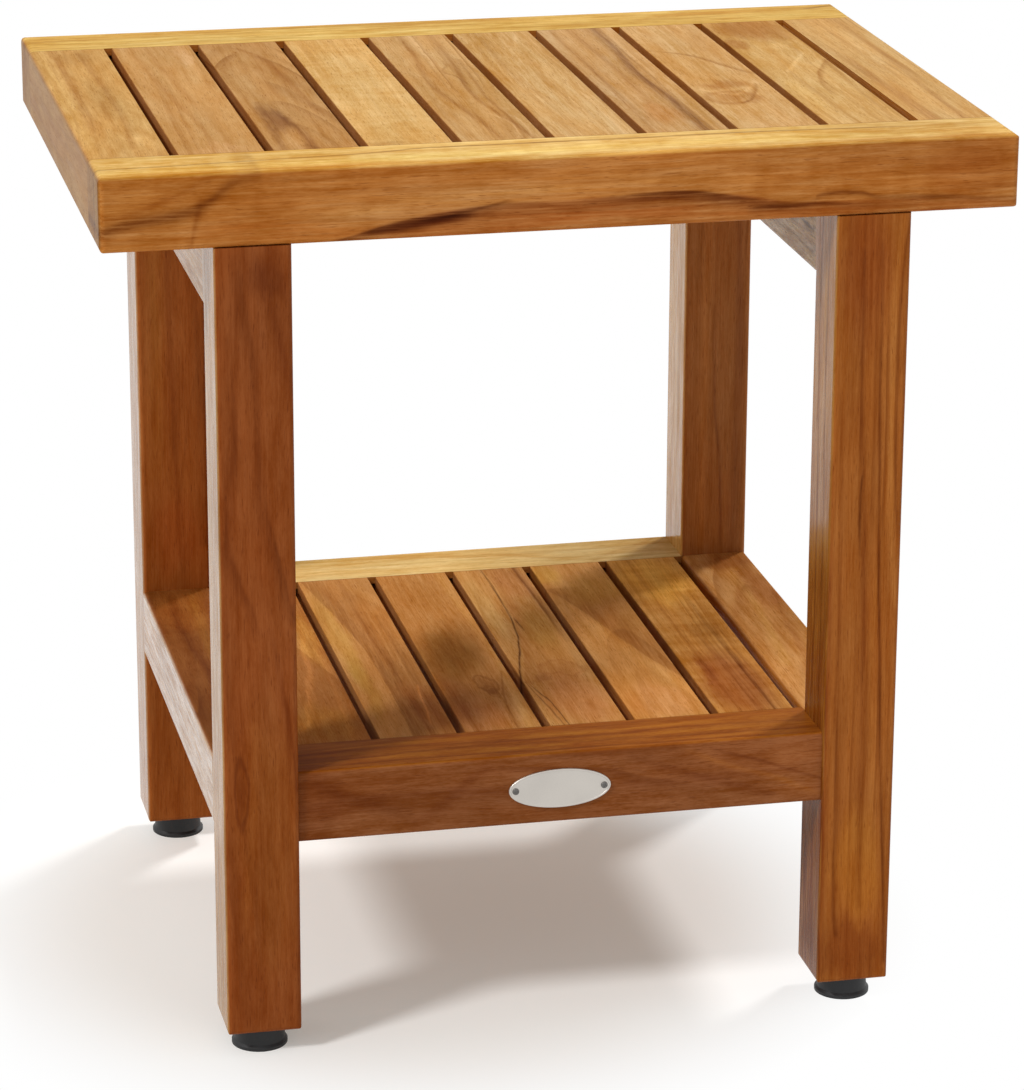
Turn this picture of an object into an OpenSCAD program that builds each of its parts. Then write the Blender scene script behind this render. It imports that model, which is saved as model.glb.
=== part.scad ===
// Teak shower bench with a slatted seat, a slatted lower shelf and levelling feet.
// Millimetres. Origin on the floor under the middle of the seat: +X to the right end,
// +Y to the back, +Z up. The feet are drawn screwed fully in.

/* [Seat] */
// Length of the seat, end to end
seat_w = 457; // [420:1:540]
// Depth of the seat, front to back
seat_d = 330; // [300:1:380]
// Thickness of the seat's frame
seat_t = 37; // [34:0.5:44]
// Width of the seat's front and back rails
seat_rail_w = 40; // [36:0.5:48]
// Width of the boards at the seat's ends
end_board_w = 40; // [34:0.5:48]
// Thickness of the seat's slats
seat_slat_t = 14; // [12:0.5:15]
// Drainage gap beside each seat slat
seat_gap = 4.4; // [3:0.1:7]
// Radius on the outer edges of the seat
seat_round = 3; // [1:0.5:5]
// Radius on the long edges of every slat
slat_round = 0.8; // [0.4:0.1:1.5]
// Width of the bearers that join the seat to the side frames
bearer_w = 31; // [28:0.5:32]

/* [Side frames] */
// Length of a leg, from its lower end to the underside of the seat
leg_l = 411.6; // [360:0.1:460]
// Thickness of a leg, side to side
leg_w = 38; // [36:0.5:46]
// Depth of a leg, front to back
leg_d = 38; // [36:0.5:46]
// Distance that the seat reaches past the legs at each end
seat_overhang = 54.5; // [46:0.5:80]
// Height of the side rails under the seat
upper_rail_h = 38; // [34:0.5:46]
// Height of the side rails beside the shelf
lower_rail_h = 37.5; // [34:0.5:46]
// Radius on the edges of the legs and side rails
frame_round = 2.5; // [1:0.5:3]

/* [Shelf] */
// Height of the shelf's top above the lower end of the legs
shelf_h = 139.1; // [90:0.1:220]
// Width of the shelf's front and back rails
shelf_rail_w = 38; // [34:0.5:44]
// Height of the shelf's front and back rails
shelf_rail_h = 37.5; // [34:0.5:44]
// Set-back of the shelf's front rail from the front of the legs
shelf_front_setback = 3.2; // [0:0.1:5]
// Set-back of the shelf's back rail from the back of the legs
shelf_back_setback = 0.6; // [0:0.1:5]
// Thickness of the shelf's slats
shelf_slat_t = 14; // [12:0.5:16]
// Drainage gap beside each shelf slat
shelf_gap = 4.4; // [3:0.1:7]
// Radius on the edges of the shelf's rails
shelf_round = 2; // [0.5:0.5:3]

/* [Joinery] */
// Length of a tenon
tenon_l = 22; // [15:0.5:26]
// Thickness of a tenon
tenon_t = 12; // [8:0.5:13]
// Shoulder above and below, or beside, a tenon
tenon_shoulder = 5; // [4:0.5:7]
// Length of the tongue on a slat's end
tongue_l = 8; // [5:0.5:10]
// Thickness of the tongue on a slat's end
tongue_t = 6; // [4:0.5:8]
// Play round a tenon or tongue
joint_play = 0.1; // [0.05:0.05:0.2]
// Room past the end of a tenon or tongue
end_play = 0.8; // [0.4:0.1:1]

/* [Seat bolts] */
// Distance between the two seat bolts of one side rail
bolt_spacing = 160; // [100:1:190]
// Diameter of a seat bolt
bolt_d = 6; // [5:0.5:8]
// Length of a seat bolt under its head
bolt_l = 40; // [38:0.5:41]
// Diameter of the bolt's head
bolt_head_d = 10; // [9:0.5:13]
// Height of the bolt's head
bolt_head_h = 6; // [4:0.5:8]
// Width across the flats of the hexagon socket in the head
bolt_key = 5; // [3:0.5:6]
// Depth of the hexagon socket
bolt_key_h = 3; // [2:0.5:3.5]
// Clearance hole for the bolt in the side rail
bolt_hole_d = 6.8; // [6.5:0.1:9]
// Depth of the counterbore for the head, from the rail's underside
counterbore_h = 14; // [13:0.5:16]
// Diameter of the counterbore
counterbore_d = 17; // [16:0.5:20]
// Diameter of the washer under the head
washer_d = 14; // [13:0.5:15.5]
// Thickness of the washer
washer_t = 1.5; // [1:0.1:2]
// Outer diameter of the threaded insert in the bearer
bolt_insert_d = 10; // [9:0.5:14]
// Length of the threaded insert in the bearer
bolt_insert_l = 13; // [8:0.5:14]

/* [Feet] */
// Height of a foot's pad
pad_h = 12; // [9:0.5:16]
// Diameter of the pad where it meets the floor
pad_d = 28.6; // [26:0.1:32]
// Diameter of the pad at its top
pad_top_d = 25; // [22:0.1:28]
// Height of the thin lip round the bottom of the pad
pad_lip_h = 1.6; // [1:0.1:2.5]
// Radius on the upper edge of the pad
pad_round = 1.2; // [0.5:0.1:1.8]
// Gap under the leg when the foot is screwed fully in
pad_gap = 0.4; // [0.3:0.1:1]
// Diameter of the foot's threaded stem
stem_d = 8; // [6:0.5:10]
// Length of the stem above the pad
stem_l = 26; // [22:0.5:34]
// Diameter of the stem's head inside the pad
stem_head_d = 15; // [12:0.5:17]
// Thickness of the stem's head
stem_head_t = 3.5; // [2.5:0.5:4]
// Thickness of the pad under the stem's head
pad_floor = 3; // [2:0.5:4]
// Outer diameter of the threaded insert in the leg
foot_insert_d = 12; // [11:0.5:16]
// Length of the threaded insert in the leg
foot_insert_l = 15; // [10:0.5:20]
// Radial clearance where one round piece runs inside another
run = 0.05; // [0.02:0.01:0.1]

/* [Plate] */
// Length of the oval plate on the shelf's front rail
plate_w = 53; // [40:0.5:70]
// Height of the oval plate
plate_h = 20.8; // [16:0.1:26]
// Thickness of the oval plate
plate_t = 1.2; // [0.8:0.1:2]
// Distance of the plate's middle from the middle of the bench
plate_x = -1.8; // [-20:0.1:20]
// Distance between the plate's two screws
plate_screw_spacing = 46; // [34:0.5:48]
// Diameter of a plate screw's shank
plate_screw_d = 2.2; // [1.8:0.1:2.6]
// Length of a plate screw under its head
plate_screw_l = 12; // [8:0.5:16]
// Diameter of a plate screw's head
plate_screw_head_d = 3.6; // [3:0.1:4]

/* [Hidden] */

$fn = 48;
// how far a cutter reaches past the face that it opens
over = 1;
// sides: -1 is left or front, 1 is right or back
left = -1;
right = 1;
front = -1;
back = 1;

// heights above the floor
leg_z = pad_h + pad_gap;
seat_z = leg_z + leg_l;
shelf_z = leg_z + shelf_h;
slat_z = seat_z + seat_t - seat_slat_t;

// places of the legs
leg_x = seat_w / 2 - seat_overhang - leg_w / 2;
leg_y = seat_d / 2 - leg_d / 2;
bay_w = 2 * leg_x - leg_w;
window_d = seat_d - 2 * leg_d;

// places in the seat
seat_slats = 8;
seat_bay_w = seat_w - 2 * end_board_w;
seat_slat_w = (seat_bay_w - (seat_slats + 1) * seat_gap) / seat_slats;
seat_slat_l = seat_d - 2 * seat_rail_w;
bearer_h = seat_t - seat_slat_t;
bearer_x = leg_x + (leg_w - bearer_w) / 2;

// places in the shelf
shelf_slats = 6;
shelf_slat_w = (bay_w - (shelf_slats + 1) * shelf_gap) / shelf_slats;
shelf_front = -seat_d / 2 + shelf_front_setback;
shelf_back = seat_d / 2 - shelf_back_setback;
shelf_slat_l = shelf_back - shelf_front - 2 * shelf_rail_w;
shelf_slat_y = (shelf_front + shelf_back) / 2;

// the shelf's tenons sit in the upper half of a rail, those of the side rails in the lower half,
// so that the two pass each other inside the leg
tenon_split = 1;

shelf_colour = [0.66, 0.42, 0.20];
seat_colour = [0.80, 0.58, 0.32];
leg_colour = [0.55, 0.29, 0.13];
steel = [0.72, 0.72, 0.72];
brass = [0.78, 0.65, 0.36];
black = [0.10, 0.10, 0.11];

// ---- shared forms ----

// rectangle about the origin with round corners
module rounded_rect(w, h, r) {
    square([w, h - 2 * r], center = true);
    square([w - 2 * r, h], center = true);
    for (x = [-1, 1], y = [-1, 1])
        translate([x * (w / 2 - r), y * (h / 2 - r)])
            circle(r);
}

// block about the Z axis from z = 0 up, each edge rounded
module eased_block(w, d, h, r) {
    intersection() {
        linear_extrude(h)
            rounded_rect(w, d, r);
        bottom_eased_block(w, d, h, r);
    }
}

// block about the Z axis from z = 0 up, rounded along its lower and upper edges
module bottom_eased_block(w, d, h, r) {
    intersection() {
        rotate([90, 0, 0])
            linear_extrude(d, center = true)
                translate([0, h / 2])
                    rounded_rect(w, h, r);
        rotate([90, 0, 90])
            linear_extrude(w, center = true)
                translate([0, h / 2])
                    rounded_rect(d, h, r);
    }
}

// block along Y, centred in X and Y, with its low and high Z
module bar(w, d, low, high) {
    translate([-w / 2, -d / 2, low])
        cube([w, d, high - low]);
}

// two tenons along Y at y = +-at: width in X, low and high Z; with play they are the mortises
module tenon_pair(at, w, low, high, l = tenon_l, play = 0) {
    root = play > 0 ? over : 2 * over;
    tip = play > 0 ? end_play : 0;
    for (side = [front, back])
        translate([0, side * (at + (l + tip - root) / 2), 0])
            bar(w + 2 * play, l + tip + root, low - play, high + play);
}

// gap across a side frame's thickness, len wide, flared by the rounding of its edges
module flared_gap(len) {
    square([leg_w + 2 * over, len], center = true);
    for (x = [-1, 1], y = [-1, 1])
        translate([x * leg_w / 2, y * len / 2])
            difference() {
                translate([x > 0 ? -frame_round : -over, y > 0 ? -over : -frame_round])
                    square([frame_round + over, frame_round + over]);
                translate([-x * frame_round, y * frame_round])
                    circle(frame_round);
            }
}

// opening through a side frame between two heights, its edges rounded all round
module window(low, high) {
    intersection() {
        translate([0, 0, low - frame_round])
            linear_extrude(high - low + 2 * frame_round)
                flared_gap(window_d);
        rotate([90, 0, 0])
            linear_extrude(seat_d, center = true)
                translate([0, (low + high) / 2])
                    flared_gap(high - low);
    }
}

// ---- seat ----

module seat_form() {
    translate([0, 0, seat_z])
        eased_block(seat_w, seat_d, seat_t, seat_round);
}

// tenons of the two end boards and the two bearers
module seat_tenons(x, w, mid, play = 0) {
    translate([x, 0, seat_z + mid])
        tenon_pair(seat_d / 2 - seat_rail_w, w - 2 * tenon_shoulder, -tenon_t / 2, tenon_t / 2, play = play);
}

module end_board_tenons(side, play = 0) {
    seat_tenons(side * (seat_w - end_board_w) / 2, end_board_w, seat_t / 2, play);
}

module bearer_tenons(side, play = 0) {
    seat_tenons(side * bearer_x, bearer_w, bearer_h / 2, play);
}

// front or back rail: mortised for end boards and bearers, grooved for the slats' tongues
module seat_rail(side) {
    groove_l = tongue_l + end_play;
    color(seat_colour)
        difference() {
            intersection() {
                seat_form();
                translate([0, side * (seat_d - seat_rail_w) / 2, 0])
                    bar(seat_w + 2 * over, seat_rail_w, seat_z - over, seat_z + seat_t + over);
            }
            for (end = [left, right]) {
                end_board_tenons(end, joint_play);
                bearer_tenons(end, joint_play);
            }
            translate([0, side * (seat_d / 2 - seat_rail_w + (groove_l - over) / 2), slat_z + seat_slat_t / 2])
                bar(seat_bay_w, groove_l + over, -tongue_t / 2 - joint_play, tongue_t / 2 + joint_play);
        }
}

module end_board(side) {
    color(seat_colour) {
        intersection() {
            seat_form();
            translate([side * (seat_w - end_board_w) / 2, 0, 0])
                bar(end_board_w, seat_slat_l, seat_z, seat_z + seat_t);
        }
        end_board_tenons(side);
    }
}

// slat along Y with a tongue at each end, its underside at z = 0
module slat(w, l, t) {
    rotate([90, 0, 0])
        linear_extrude(l, center = true)
            translate([0, t / 2])
                rounded_rect(w, t, slat_round);
    tenon_pair(l / 2, w, (t - tongue_t) / 2, (t + tongue_t) / 2, tongue_l);
}

module seat_slat(i) {
    x = -seat_bay_w / 2 + i * seat_gap + (i - 0.5) * seat_slat_w;
    color(seat_colour)
        translate([x, 0, slat_z])
            slat(seat_slat_w, seat_slat_l, seat_slat_t);
}

// bearer on a side rail, flush with its outer face and clear of the slats' gaps
module bearer(side) {
    color(seat_colour)
        difference() {
            union() {
                translate([side * bearer_x, 0, 0])
                    bar(bearer_w, seat_slat_l, seat_z, slat_z);
                bearer_tenons(side);
            }
            at_bolts(side)
                bolt_seat_hole();
        }
}

// ---- side frames ----

// stands its children in one side frame: x = 0 is the frame's middle, z = 0 the legs' lower end
module in_side(side) {
    if (side > 0)
        translate([leg_x, 0, leg_z])
            children();
    else
        mirror([1, 0, 0])
            translate([leg_x, 0, leg_z])
                children();
}

module side_frame_form() {
    difference() {
        linear_extrude(leg_l)
            rounded_rect(leg_w, seat_d, frame_round);
        window(shelf_h, leg_l - upper_rail_h);
        window(-leg_l, shelf_h - lower_rail_h);
    }
}

module upper_tenons(play = 0) {
    tenon_pair(window_d / 2, tenon_t, leg_l - upper_rail_h + tenon_shoulder, leg_l - tenon_shoulder,
        play = play);
}

module lower_tenons(play = 0) {
    low = shelf_h - lower_rail_h + tenon_shoulder;
    tenon_pair(window_d / 2, tenon_t, low, shelf_h - shelf_rail_h / 2 - tenon_split, play = play);
}

// tenons of the shelf's rails, along X from the legs' inner faces
module shelf_tenons(side, play = 0) {
    y = side < 0 ? shelf_front + shelf_rail_w / 2 : shelf_back - shelf_rail_w / 2;
    translate([0, y, shelf_z])
        rotate([0, 0, 90])
            tenon_pair(bay_w / 2, tenon_t, -shelf_rail_h / 2 + tenon_split, -tenon_shoulder, play = play);
}

module leg(side, end) {
    color(leg_colour)
        difference() {
            in_side(side)
                difference() {
                    intersection() {
                        side_frame_form();
                        translate([0, end * leg_y, 0])
                            bottom_eased_block(leg_w, leg_d, leg_l + 2 * frame_round, frame_round);
                    }
                    upper_tenons(joint_play);
                    lower_tenons(joint_play);
                    translate([0, end * leg_y, 0])
                        foot_hole();
                }
            shelf_tenons(end, joint_play);
        }
}

module upper_side_rail(side) {
    color(leg_colour)
        difference() {
            in_side(side) {
                intersection() {
                    side_frame_form();
                    bar(leg_w, window_d, leg_l - upper_rail_h, leg_l);
                }
                upper_tenons();
            }
            at_bolts(side)
                bolt_rail_hole();
        }
}

module lower_side_rail(side) {
    color(leg_colour)
        in_side(side) {
            intersection() {
                side_frame_form();
                bar(leg_w, window_d, shelf_h - lower_rail_h, shelf_h);
            }
            lower_tenons();
        }
}

// ---- shelf ----

// front or back rail of the shelf: tenoned into the legs, grooved for the slats' tongues
module shelf_rail(side) {
    inner = side < 0 ? shelf_front + shelf_rail_w : shelf_back - shelf_rail_w;
    groove_l = tongue_l + end_play;
    color(shelf_colour)
        difference() {
            union() {
                translate([0, inner, shelf_z])
                    rotate([90, 0, 90])
                        linear_extrude(bay_w, center = true)
                            shelf_rail_section(side);
                shelf_tenons(side);
            }
            translate([0, inner + side * (groove_l - over) / 2, shelf_z - shelf_slat_t / 2])
                bar(bay_w + 2 * over, groove_l + over, -tongue_t / 2 - joint_play, tongue_t / 2 + joint_play);
            if (side < 0)
                at_plate_screws()
                    plate_screw_hole();
        }
}

// section with its upper inner corner, which meets the slats, at the origin
module shelf_rail_section(side) {
    translate([side * shelf_rail_w / 2, -shelf_rail_h / 2])
        rounded_rect(shelf_rail_w, shelf_rail_h, shelf_round);
    translate([side > 0 ? 0 : -shelf_round, -shelf_round])
        square(shelf_round);
}

module shelf_slat(i) {
    x = -bay_w / 2 + i * shelf_gap + (i - 0.5) * shelf_slat_w;
    color(shelf_colour)
        translate([x, shelf_slat_y, shelf_z - shelf_slat_t])
            slat(shelf_slat_w, shelf_slat_l, shelf_slat_t);
}

// ---- seat bolts ----

// puts its children where a seat bolt crosses the underside of an upper side rail
module at_bolts(side) {
    for (y = [-bolt_spacing / 2, bolt_spacing / 2])
        translate([side * leg_x, y, seat_z - upper_rail_h])
            children();
}

module bolt_rail_hole() {
    translate([0, 0, -over])
        cylinder(d = counterbore_d, h = counterbore_h + over);
    translate([0, 0, -over])
        cylinder(d = bolt_hole_d, h = upper_rail_h + 2 * over);
}

// blind hole in the bearer for the insert, and past it for the end of the bolt
module bolt_seat_hole() {
    tip = counterbore_h - washer_t + bolt_l;
    translate([0, 0, upper_rail_h - over])
        cylinder(d = bolt_insert_d, h = bolt_insert_l + over);
    translate([0, 0, upper_rail_h])
        cylinder(d = bolt_hole_d, h = tip - upper_rail_h + end_play);
}

module bolt() {
    translate([0, 0, counterbore_h - washer_t])
        difference() {
            union() {
                cylinder(d = bolt_d, h = bolt_l);
                translate([0, 0, -bolt_head_h])
                    cylinder(d = bolt_head_d, h = bolt_head_h);
            }
            translate([0, 0, -bolt_head_h - over])
                cylinder(d = bolt_key / cos(30), h = bolt_key_h + over, $fn = 6);
        }
}

module washer() {
    translate([0, 0, counterbore_h - washer_t])
        difference() {
            cylinder(d = washer_d, h = washer_t);
            translate([0, 0, -over])
                cylinder(d = bolt_d + 2 * run, h = washer_t + 2 * over);
        }
}

module bolt_insert() {
    translate([0, 0, upper_rail_h])
        difference() {
            cylinder(d = bolt_insert_d, h = bolt_insert_l);
            translate([0, 0, -over])
                cylinder(d = bolt_d + 2 * run, h = bolt_insert_l + 2 * over);
        }
}

module seat_bolts() {
    color(steel)
        for (side = [left, right])
            at_bolts(side)
                bolt();
}

module seat_bolt_washers() {
    color(steel)
        for (side = [left, right])
            at_bolts(side)
                washer();
}

module seat_bolt_inserts() {
    color(brass)
        for (side = [left, right])
            at_bolts(side)
                bolt_insert();
}

// ---- feet ----

// puts its children on the axis of a foot, at the lower end of the leg
module at_foot(side, end) {
    translate([side * leg_x, end * leg_y, leg_z])
        children();
}

// blind hole in the leg for the insert, and past it for the stem
module foot_hole() {
    translate([0, 0, -over])
        cylinder(d = foot_insert_d, h = foot_insert_l + over);
    translate([0, 0, -over])
        cylinder(d = stem_d + end_play, h = stem_l - pad_gap + end_play + over);
}

module foot_inserts() {
    color(brass)
        for (side = [left, right], end = [front, back])
            at_foot(side, end)
                difference() {
                    cylinder(d = foot_insert_d, h = foot_insert_l);
                    translate([0, 0, -over])
                        cylinder(d = stem_d + 2 * run, h = foot_insert_l + 2 * over);
                }
}

// half outline of the stem and its head, grown by gap for the hollow in the pad
module stem_outline(gap = 0) {
    head_low = -leg_z + pad_floor;
    translate([0, head_low])
        square([stem_head_d / 2 + gap, stem_head_t + gap]);
    translate([0, head_low])
        square([stem_d / 2 + gap, pad_h - pad_floor + stem_l]);
}

module foot_stem(side, end) {
    color(steel)
        at_foot(side, end)
            rotate_extrude()
                stem_outline();
}

// moulded pad: flared side, thin lip on the floor, closed round the stem's head
module foot_pad(side, end) {
    top = -pad_gap;
    color(black)
        at_foot(side, end)
            rotate_extrude()
                difference() {
                    union() {
                        polygon([
                            [0, -leg_z], [pad_d / 2, -leg_z], [pad_d / 2, -leg_z + pad_lip_h],
                            [pad_d / 2 - pad_round, -leg_z + pad_lip_h + pad_round],
                            [pad_top_d / 2, top - pad_round], [0, top - pad_round],
                        ]);
                        translate([0, top - 2 * pad_round])
                            square([pad_top_d / 2 - pad_round, 2 * pad_round]);
                        translate([pad_top_d / 2 - pad_round, top - pad_round])
                            circle(pad_round);
                    }
                    stem_outline(run);
                }
}

// ---- plate ----

// puts its children on the face of the shelf's front rail, z pointing out of the rail
module at_plate() {
    translate([plate_x, shelf_front, shelf_z - shelf_rail_h / 2])
        rotate([90, 0, 0])
            children();
}

module at_plate_screws() {
    at_plate()
        for (x = [-plate_screw_spacing / 2, plate_screw_spacing / 2])
            translate([x, 0, 0])
                children();
}

module plate_screw_hole() {
    translate([0, 0, -plate_screw_l - end_play])
        cylinder(d = plate_screw_d + 2 * run, h = plate_screw_l + end_play + over);
}

module oval_plate() {
    steps = 72;
    color(steel)
        difference() {
            at_plate()
                linear_extrude(plate_t)
                    polygon([for (i = [0:steps - 1])
                        [plate_w / 2 * cos(i * 360 / steps), plate_h / 2 * sin(i * 360 / steps)]]);
            at_plate_screws()
                translate([0, 0, -over])
                    cylinder(d = plate_screw_d + 2 * run, h = plate_t + 2 * over);
        }
}

// low round-headed wood screws; the head is a cap of a ball
module plate_screws() {
    head_h = 0.8;
    ball_r = (pow(plate_screw_head_d / 2, 2) + pow(head_h, 2)) / (2 * head_h);
    color(steel)
        at_plate_screws()
            rotate_extrude() {
                translate([0, plate_t - plate_screw_l])
                    square([plate_screw_d / 2, plate_screw_l]);
                translate([0, plate_t])
                    intersection() {
                        translate([0, head_h - ball_r])
                            circle(ball_r);
                        square([plate_screw_head_d, head_h]);
                    }
            }
}

seat_rail(front);  // seat_front_rail
seat_rail(back);  // seat_back_rail
end_board(left);  // seat_left_end_board
end_board(right);  // seat_right_end_board
for (i = [1:seat_slats])
    seat_slat(i);
bearer(left);  // seat_left_bearer
bearer(right);  // seat_right_bearer
leg(left, front);  // leg_front_left
leg(right, front);  // leg_front_right
leg(left, back);  // leg_back_left
leg(right, back);  // leg_back_right
upper_side_rail(left);  // left_upper_side_rail
upper_side_rail(right);  // right_upper_side_rail
lower_side_rail(left);  // left_lower_side_rail
lower_side_rail(right);  // right_lower_side_rail
shelf_rail(front);  // shelf_front_rail
shelf_rail(back);  // shelf_back_rail
for (i = [1:shelf_slats])
    shelf_slat(i);
seat_bolts();
seat_bolt_washers();
seat_bolt_inserts();
foot_inserts();
foot_stem(left, front);  // foot_stem_front_left
foot_stem(right, front);  // foot_stem_front_right
foot_stem(left, back);  // foot_stem_back_left
foot_stem(right, back);  // foot_stem_back_right
foot_pad(left, front);  // foot_pad_front_left
foot_pad(right, front);  // foot_pad_front_right
foot_pad(left, back);  // foot_pad_back_left
foot_pad(right, back);  // foot_pad_back_right
oval_plate();
plate_screws();
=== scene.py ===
import math

import bmesh
import bpy
from mathutils import Matrix, Vector


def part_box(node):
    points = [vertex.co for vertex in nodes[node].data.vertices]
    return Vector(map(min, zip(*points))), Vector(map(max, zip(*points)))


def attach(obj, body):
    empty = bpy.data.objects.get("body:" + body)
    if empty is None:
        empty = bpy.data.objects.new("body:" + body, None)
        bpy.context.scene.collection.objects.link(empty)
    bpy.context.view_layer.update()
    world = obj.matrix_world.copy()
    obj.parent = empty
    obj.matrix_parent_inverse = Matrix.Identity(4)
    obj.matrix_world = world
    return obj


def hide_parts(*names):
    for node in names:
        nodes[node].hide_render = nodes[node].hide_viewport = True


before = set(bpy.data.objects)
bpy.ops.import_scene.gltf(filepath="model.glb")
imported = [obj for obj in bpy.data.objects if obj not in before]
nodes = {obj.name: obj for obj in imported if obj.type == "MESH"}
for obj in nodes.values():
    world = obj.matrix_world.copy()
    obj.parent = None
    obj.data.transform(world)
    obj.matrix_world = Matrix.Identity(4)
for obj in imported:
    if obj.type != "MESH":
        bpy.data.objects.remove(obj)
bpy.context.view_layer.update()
scene = bpy.context.scene
millimetre = 0.001
print("frame loaded:", len(nodes), "nodes")


# camera

cameraPlace = {
    "target": (0.008717, 0.0, 0.208464),
    "azimuth": -12.444,
    "elevation": 18.555,
    "roll": 0.203,
    "distance": 2.34066,
    "lens": 144.212,
    "sensor": 36.0,
    "near": 0.05,
    "far": 60.0,
}


def addCamera(place):
    azimuth, elevation, roll = (math.radians(place[k]) for k in ("azimuth", "elevation", "roll"))
    back = Vector((
        math.sin(azimuth) * math.cos(elevation),
        -math.cos(azimuth) * math.cos(elevation),
        math.sin(elevation),
    ))
    right = Vector((0, 0, 1)).cross(back).normalized()
    up = back.cross(right)
    tiltedRight = right * math.cos(roll) + up * math.sin(roll)
    tiltedUp = back.cross(tiltedRight)
    turn = Matrix((tiltedRight, tiltedUp, back)).transposed().to_4x4()
    data = bpy.data.cameras.new("camera")
    data.lens = place["lens"]
    data.sensor_width = place["sensor"]
    data.clip_start, data.clip_end = place["near"], place["far"]
    camera = bpy.data.objects.new("camera", data)
    scene.collection.objects.link(camera)
    camera.matrix_world = Matrix.Translation(Vector(place["target"]) + back * place["distance"]) @ turn
    scene.camera = camera


addCamera(cameraPlace)


# small helpers for node trees

editorGrid = {"across": 190, "down": -230, "inRow": 12}


def put(tree, kind, inputs=None, **settings):
    node = tree.nodes.new(kind)
    row, column = divmod(len(tree.nodes), editorGrid["inRow"])
    node.location = (editorGrid["across"] * column, editorGrid["down"] * row)
    for name, value in settings.items():
        setattr(node, name, value)
    for key, value in (inputs or {}).items():
        if isinstance(value, bpy.types.NodeSocket):
            tree.links.new(value, node.inputs[key])
        elif value is not None:
            node.inputs[key].default_value = value
    return node


def calc(tree, operation, a, b=None, c=None, clamp=False):
    return put(tree, "ShaderNodeMath", {0: a, 1: b, 2: c}, operation=operation, use_clamp=clamp).outputs[0]


def plus(tree, a, b, clamp=False):
    return calc(tree, "ADD", a, b, clamp=clamp)


def minus(tree, a, b):
    return calc(tree, "SUBTRACT", a, b)


def times(tree, a, b, clamp=False):
    return calc(tree, "MULTIPLY", a, b, clamp=clamp)


def timesPlus(tree, a, b, c, clamp=False):
    return calc(tree, "MULTIPLY_ADD", a, b, c, clamp)


def vec(tree, operation, a, b=None):
    return put(tree, "ShaderNodeVectorMath", {0: a, 1: b}, operation=operation).outputs[0]


def stretched(tree, a, factor):
    return put(tree, "ShaderNodeVectorMath", {0: a, 3: factor}, operation="SCALE").outputs[0]


def apart(tree, a):
    return put(tree, "ShaderNodeSeparateXYZ", {0: a}).outputs


def ramp(tree, value, low, high, start=0.0, end=1.0, kind="SMOOTHSTEP"):
    return put(
        tree, "ShaderNodeMapRange", {0: value, 1: low, 2: high, 3: start, 4: end}, interpolation_type=kind
    ).outputs[0]


def between(tree, share, a, b):
    return put(tree, "ShaderNodeMix", {0: share, 2: a, 3: b}).outputs[0]


def mixColour(tree, factor, a, b, mode="MIX"):
    return put(
        tree, "ShaderNodeMix", {0: factor, 6: a, 7: b}, data_type="RGBA", blend_type=mode, clamp_factor=True
    ).outputs[2]


def shaded(tree, colour, shade):
    return mixColour(tree, 1.0, colour, shade, "MULTIPLY")


def noise(tree, place, size, detail=2.0, rough=0.5, colour=False):
    # size is the length of one feature along x, y and z, in metres
    scaled = vec(tree, "MULTIPLY", place, tuple(1 / s for s in size))
    node = put(
        tree, "ShaderNodeTexNoise", {"Vector": scaled, "Scale": 1.0, "Detail": detail, "Roughness": rough}
    )
    return node.outputs["Color" if colour else "Fac"]


def rgba(colour, scale=1.0):
    return (colour[0] * scale, colour[1] * scale, colour[2] * scale, 1.0)


def newGroup(name, inputs, outputs):
    group = bpy.data.node_groups.new(name, "ShaderNodeTree")
    for sockets, side in ((inputs, "INPUT"), (outputs, "OUTPUT")):
        for kind, labels in sockets.items():
            for label in labels:
                group.interface.new_socket(name=label, in_out=side, socket_type="NodeSocket" + kind)
    start = group.nodes.new("NodeGroupInput")
    end = group.nodes.new("NodeGroupOutput")
    return group, start.outputs, end.inputs


def giveOut(group, give, values):
    for label, value in values.items():
        group.links.new(value, give[label])
    return group


def useGroup(tree, group, inputs):
    return put(tree, "ShaderNodeGroup", inputs, node_tree=group).outputs


def newMaterial(name):
    material = bpy.data.materials.new(name)
    material.use_nodes = True
    tree = material.node_tree
    tree.nodes.clear()
    shader = put(tree, "ShaderNodeBsdfPrincipled")
    output = put(tree, "ShaderNodeOutputMaterial")
    tree.links.new(shader.outputs["BSDF"], output.inputs["Surface"])
    return material, tree, shader


# teak: growth rings round a leaning pith, fibres, pores, patches and curl

teakShades = {
    "light": (1.19, 1.34, 1.80),
    "dark": (0.79, 0.65, 0.36),
    "line": (0.54, 0.39, 0.24),
    "streak": (0.72, 0.58, 0.42),
    "pore": (0.52, 0.37, 0.26),
    "red": (1.01, 0.95, 0.86),
    "gold": (0.995, 1.04, 1.12),
}

# one feature's length across, through and along the board in metres, then the noise's detail and roughness
teakNoise = {
    "wander": ((0.06, 0.06, 0.20), 2.0, 0.5),
    "shown": ((0.03, 0.03, 0.11), 1.0, 0.5),
    "fibre": ((0.0024, 0.0024, 0.085), 4.0, 0.68),
    "fine": ((0.0007, 0.0007, 0.022), 2.0, 0.6),
    "band": ((0.0052, 0.0052, 0.19), 3.0, 0.66),
    "hue": ((0.022, 0.022, 0.12), 3.0, 0.6),
    "pores": ((0.00042, 0.00042, 0.0075), 1.0, 0.5),
    "patch": ((0.040, 0.040, 0.14), 2.0, 0.5),
    "curl": ((0.028, 0.028, 0.0085), 1.5, 0.5),
    "mottle": ((0.0056, 0.0056, 0.024), 3.0, 0.6),
    "flecks": ((0.00055, 0.00055, 0.0034), 2.0, 0.6),
}

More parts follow.
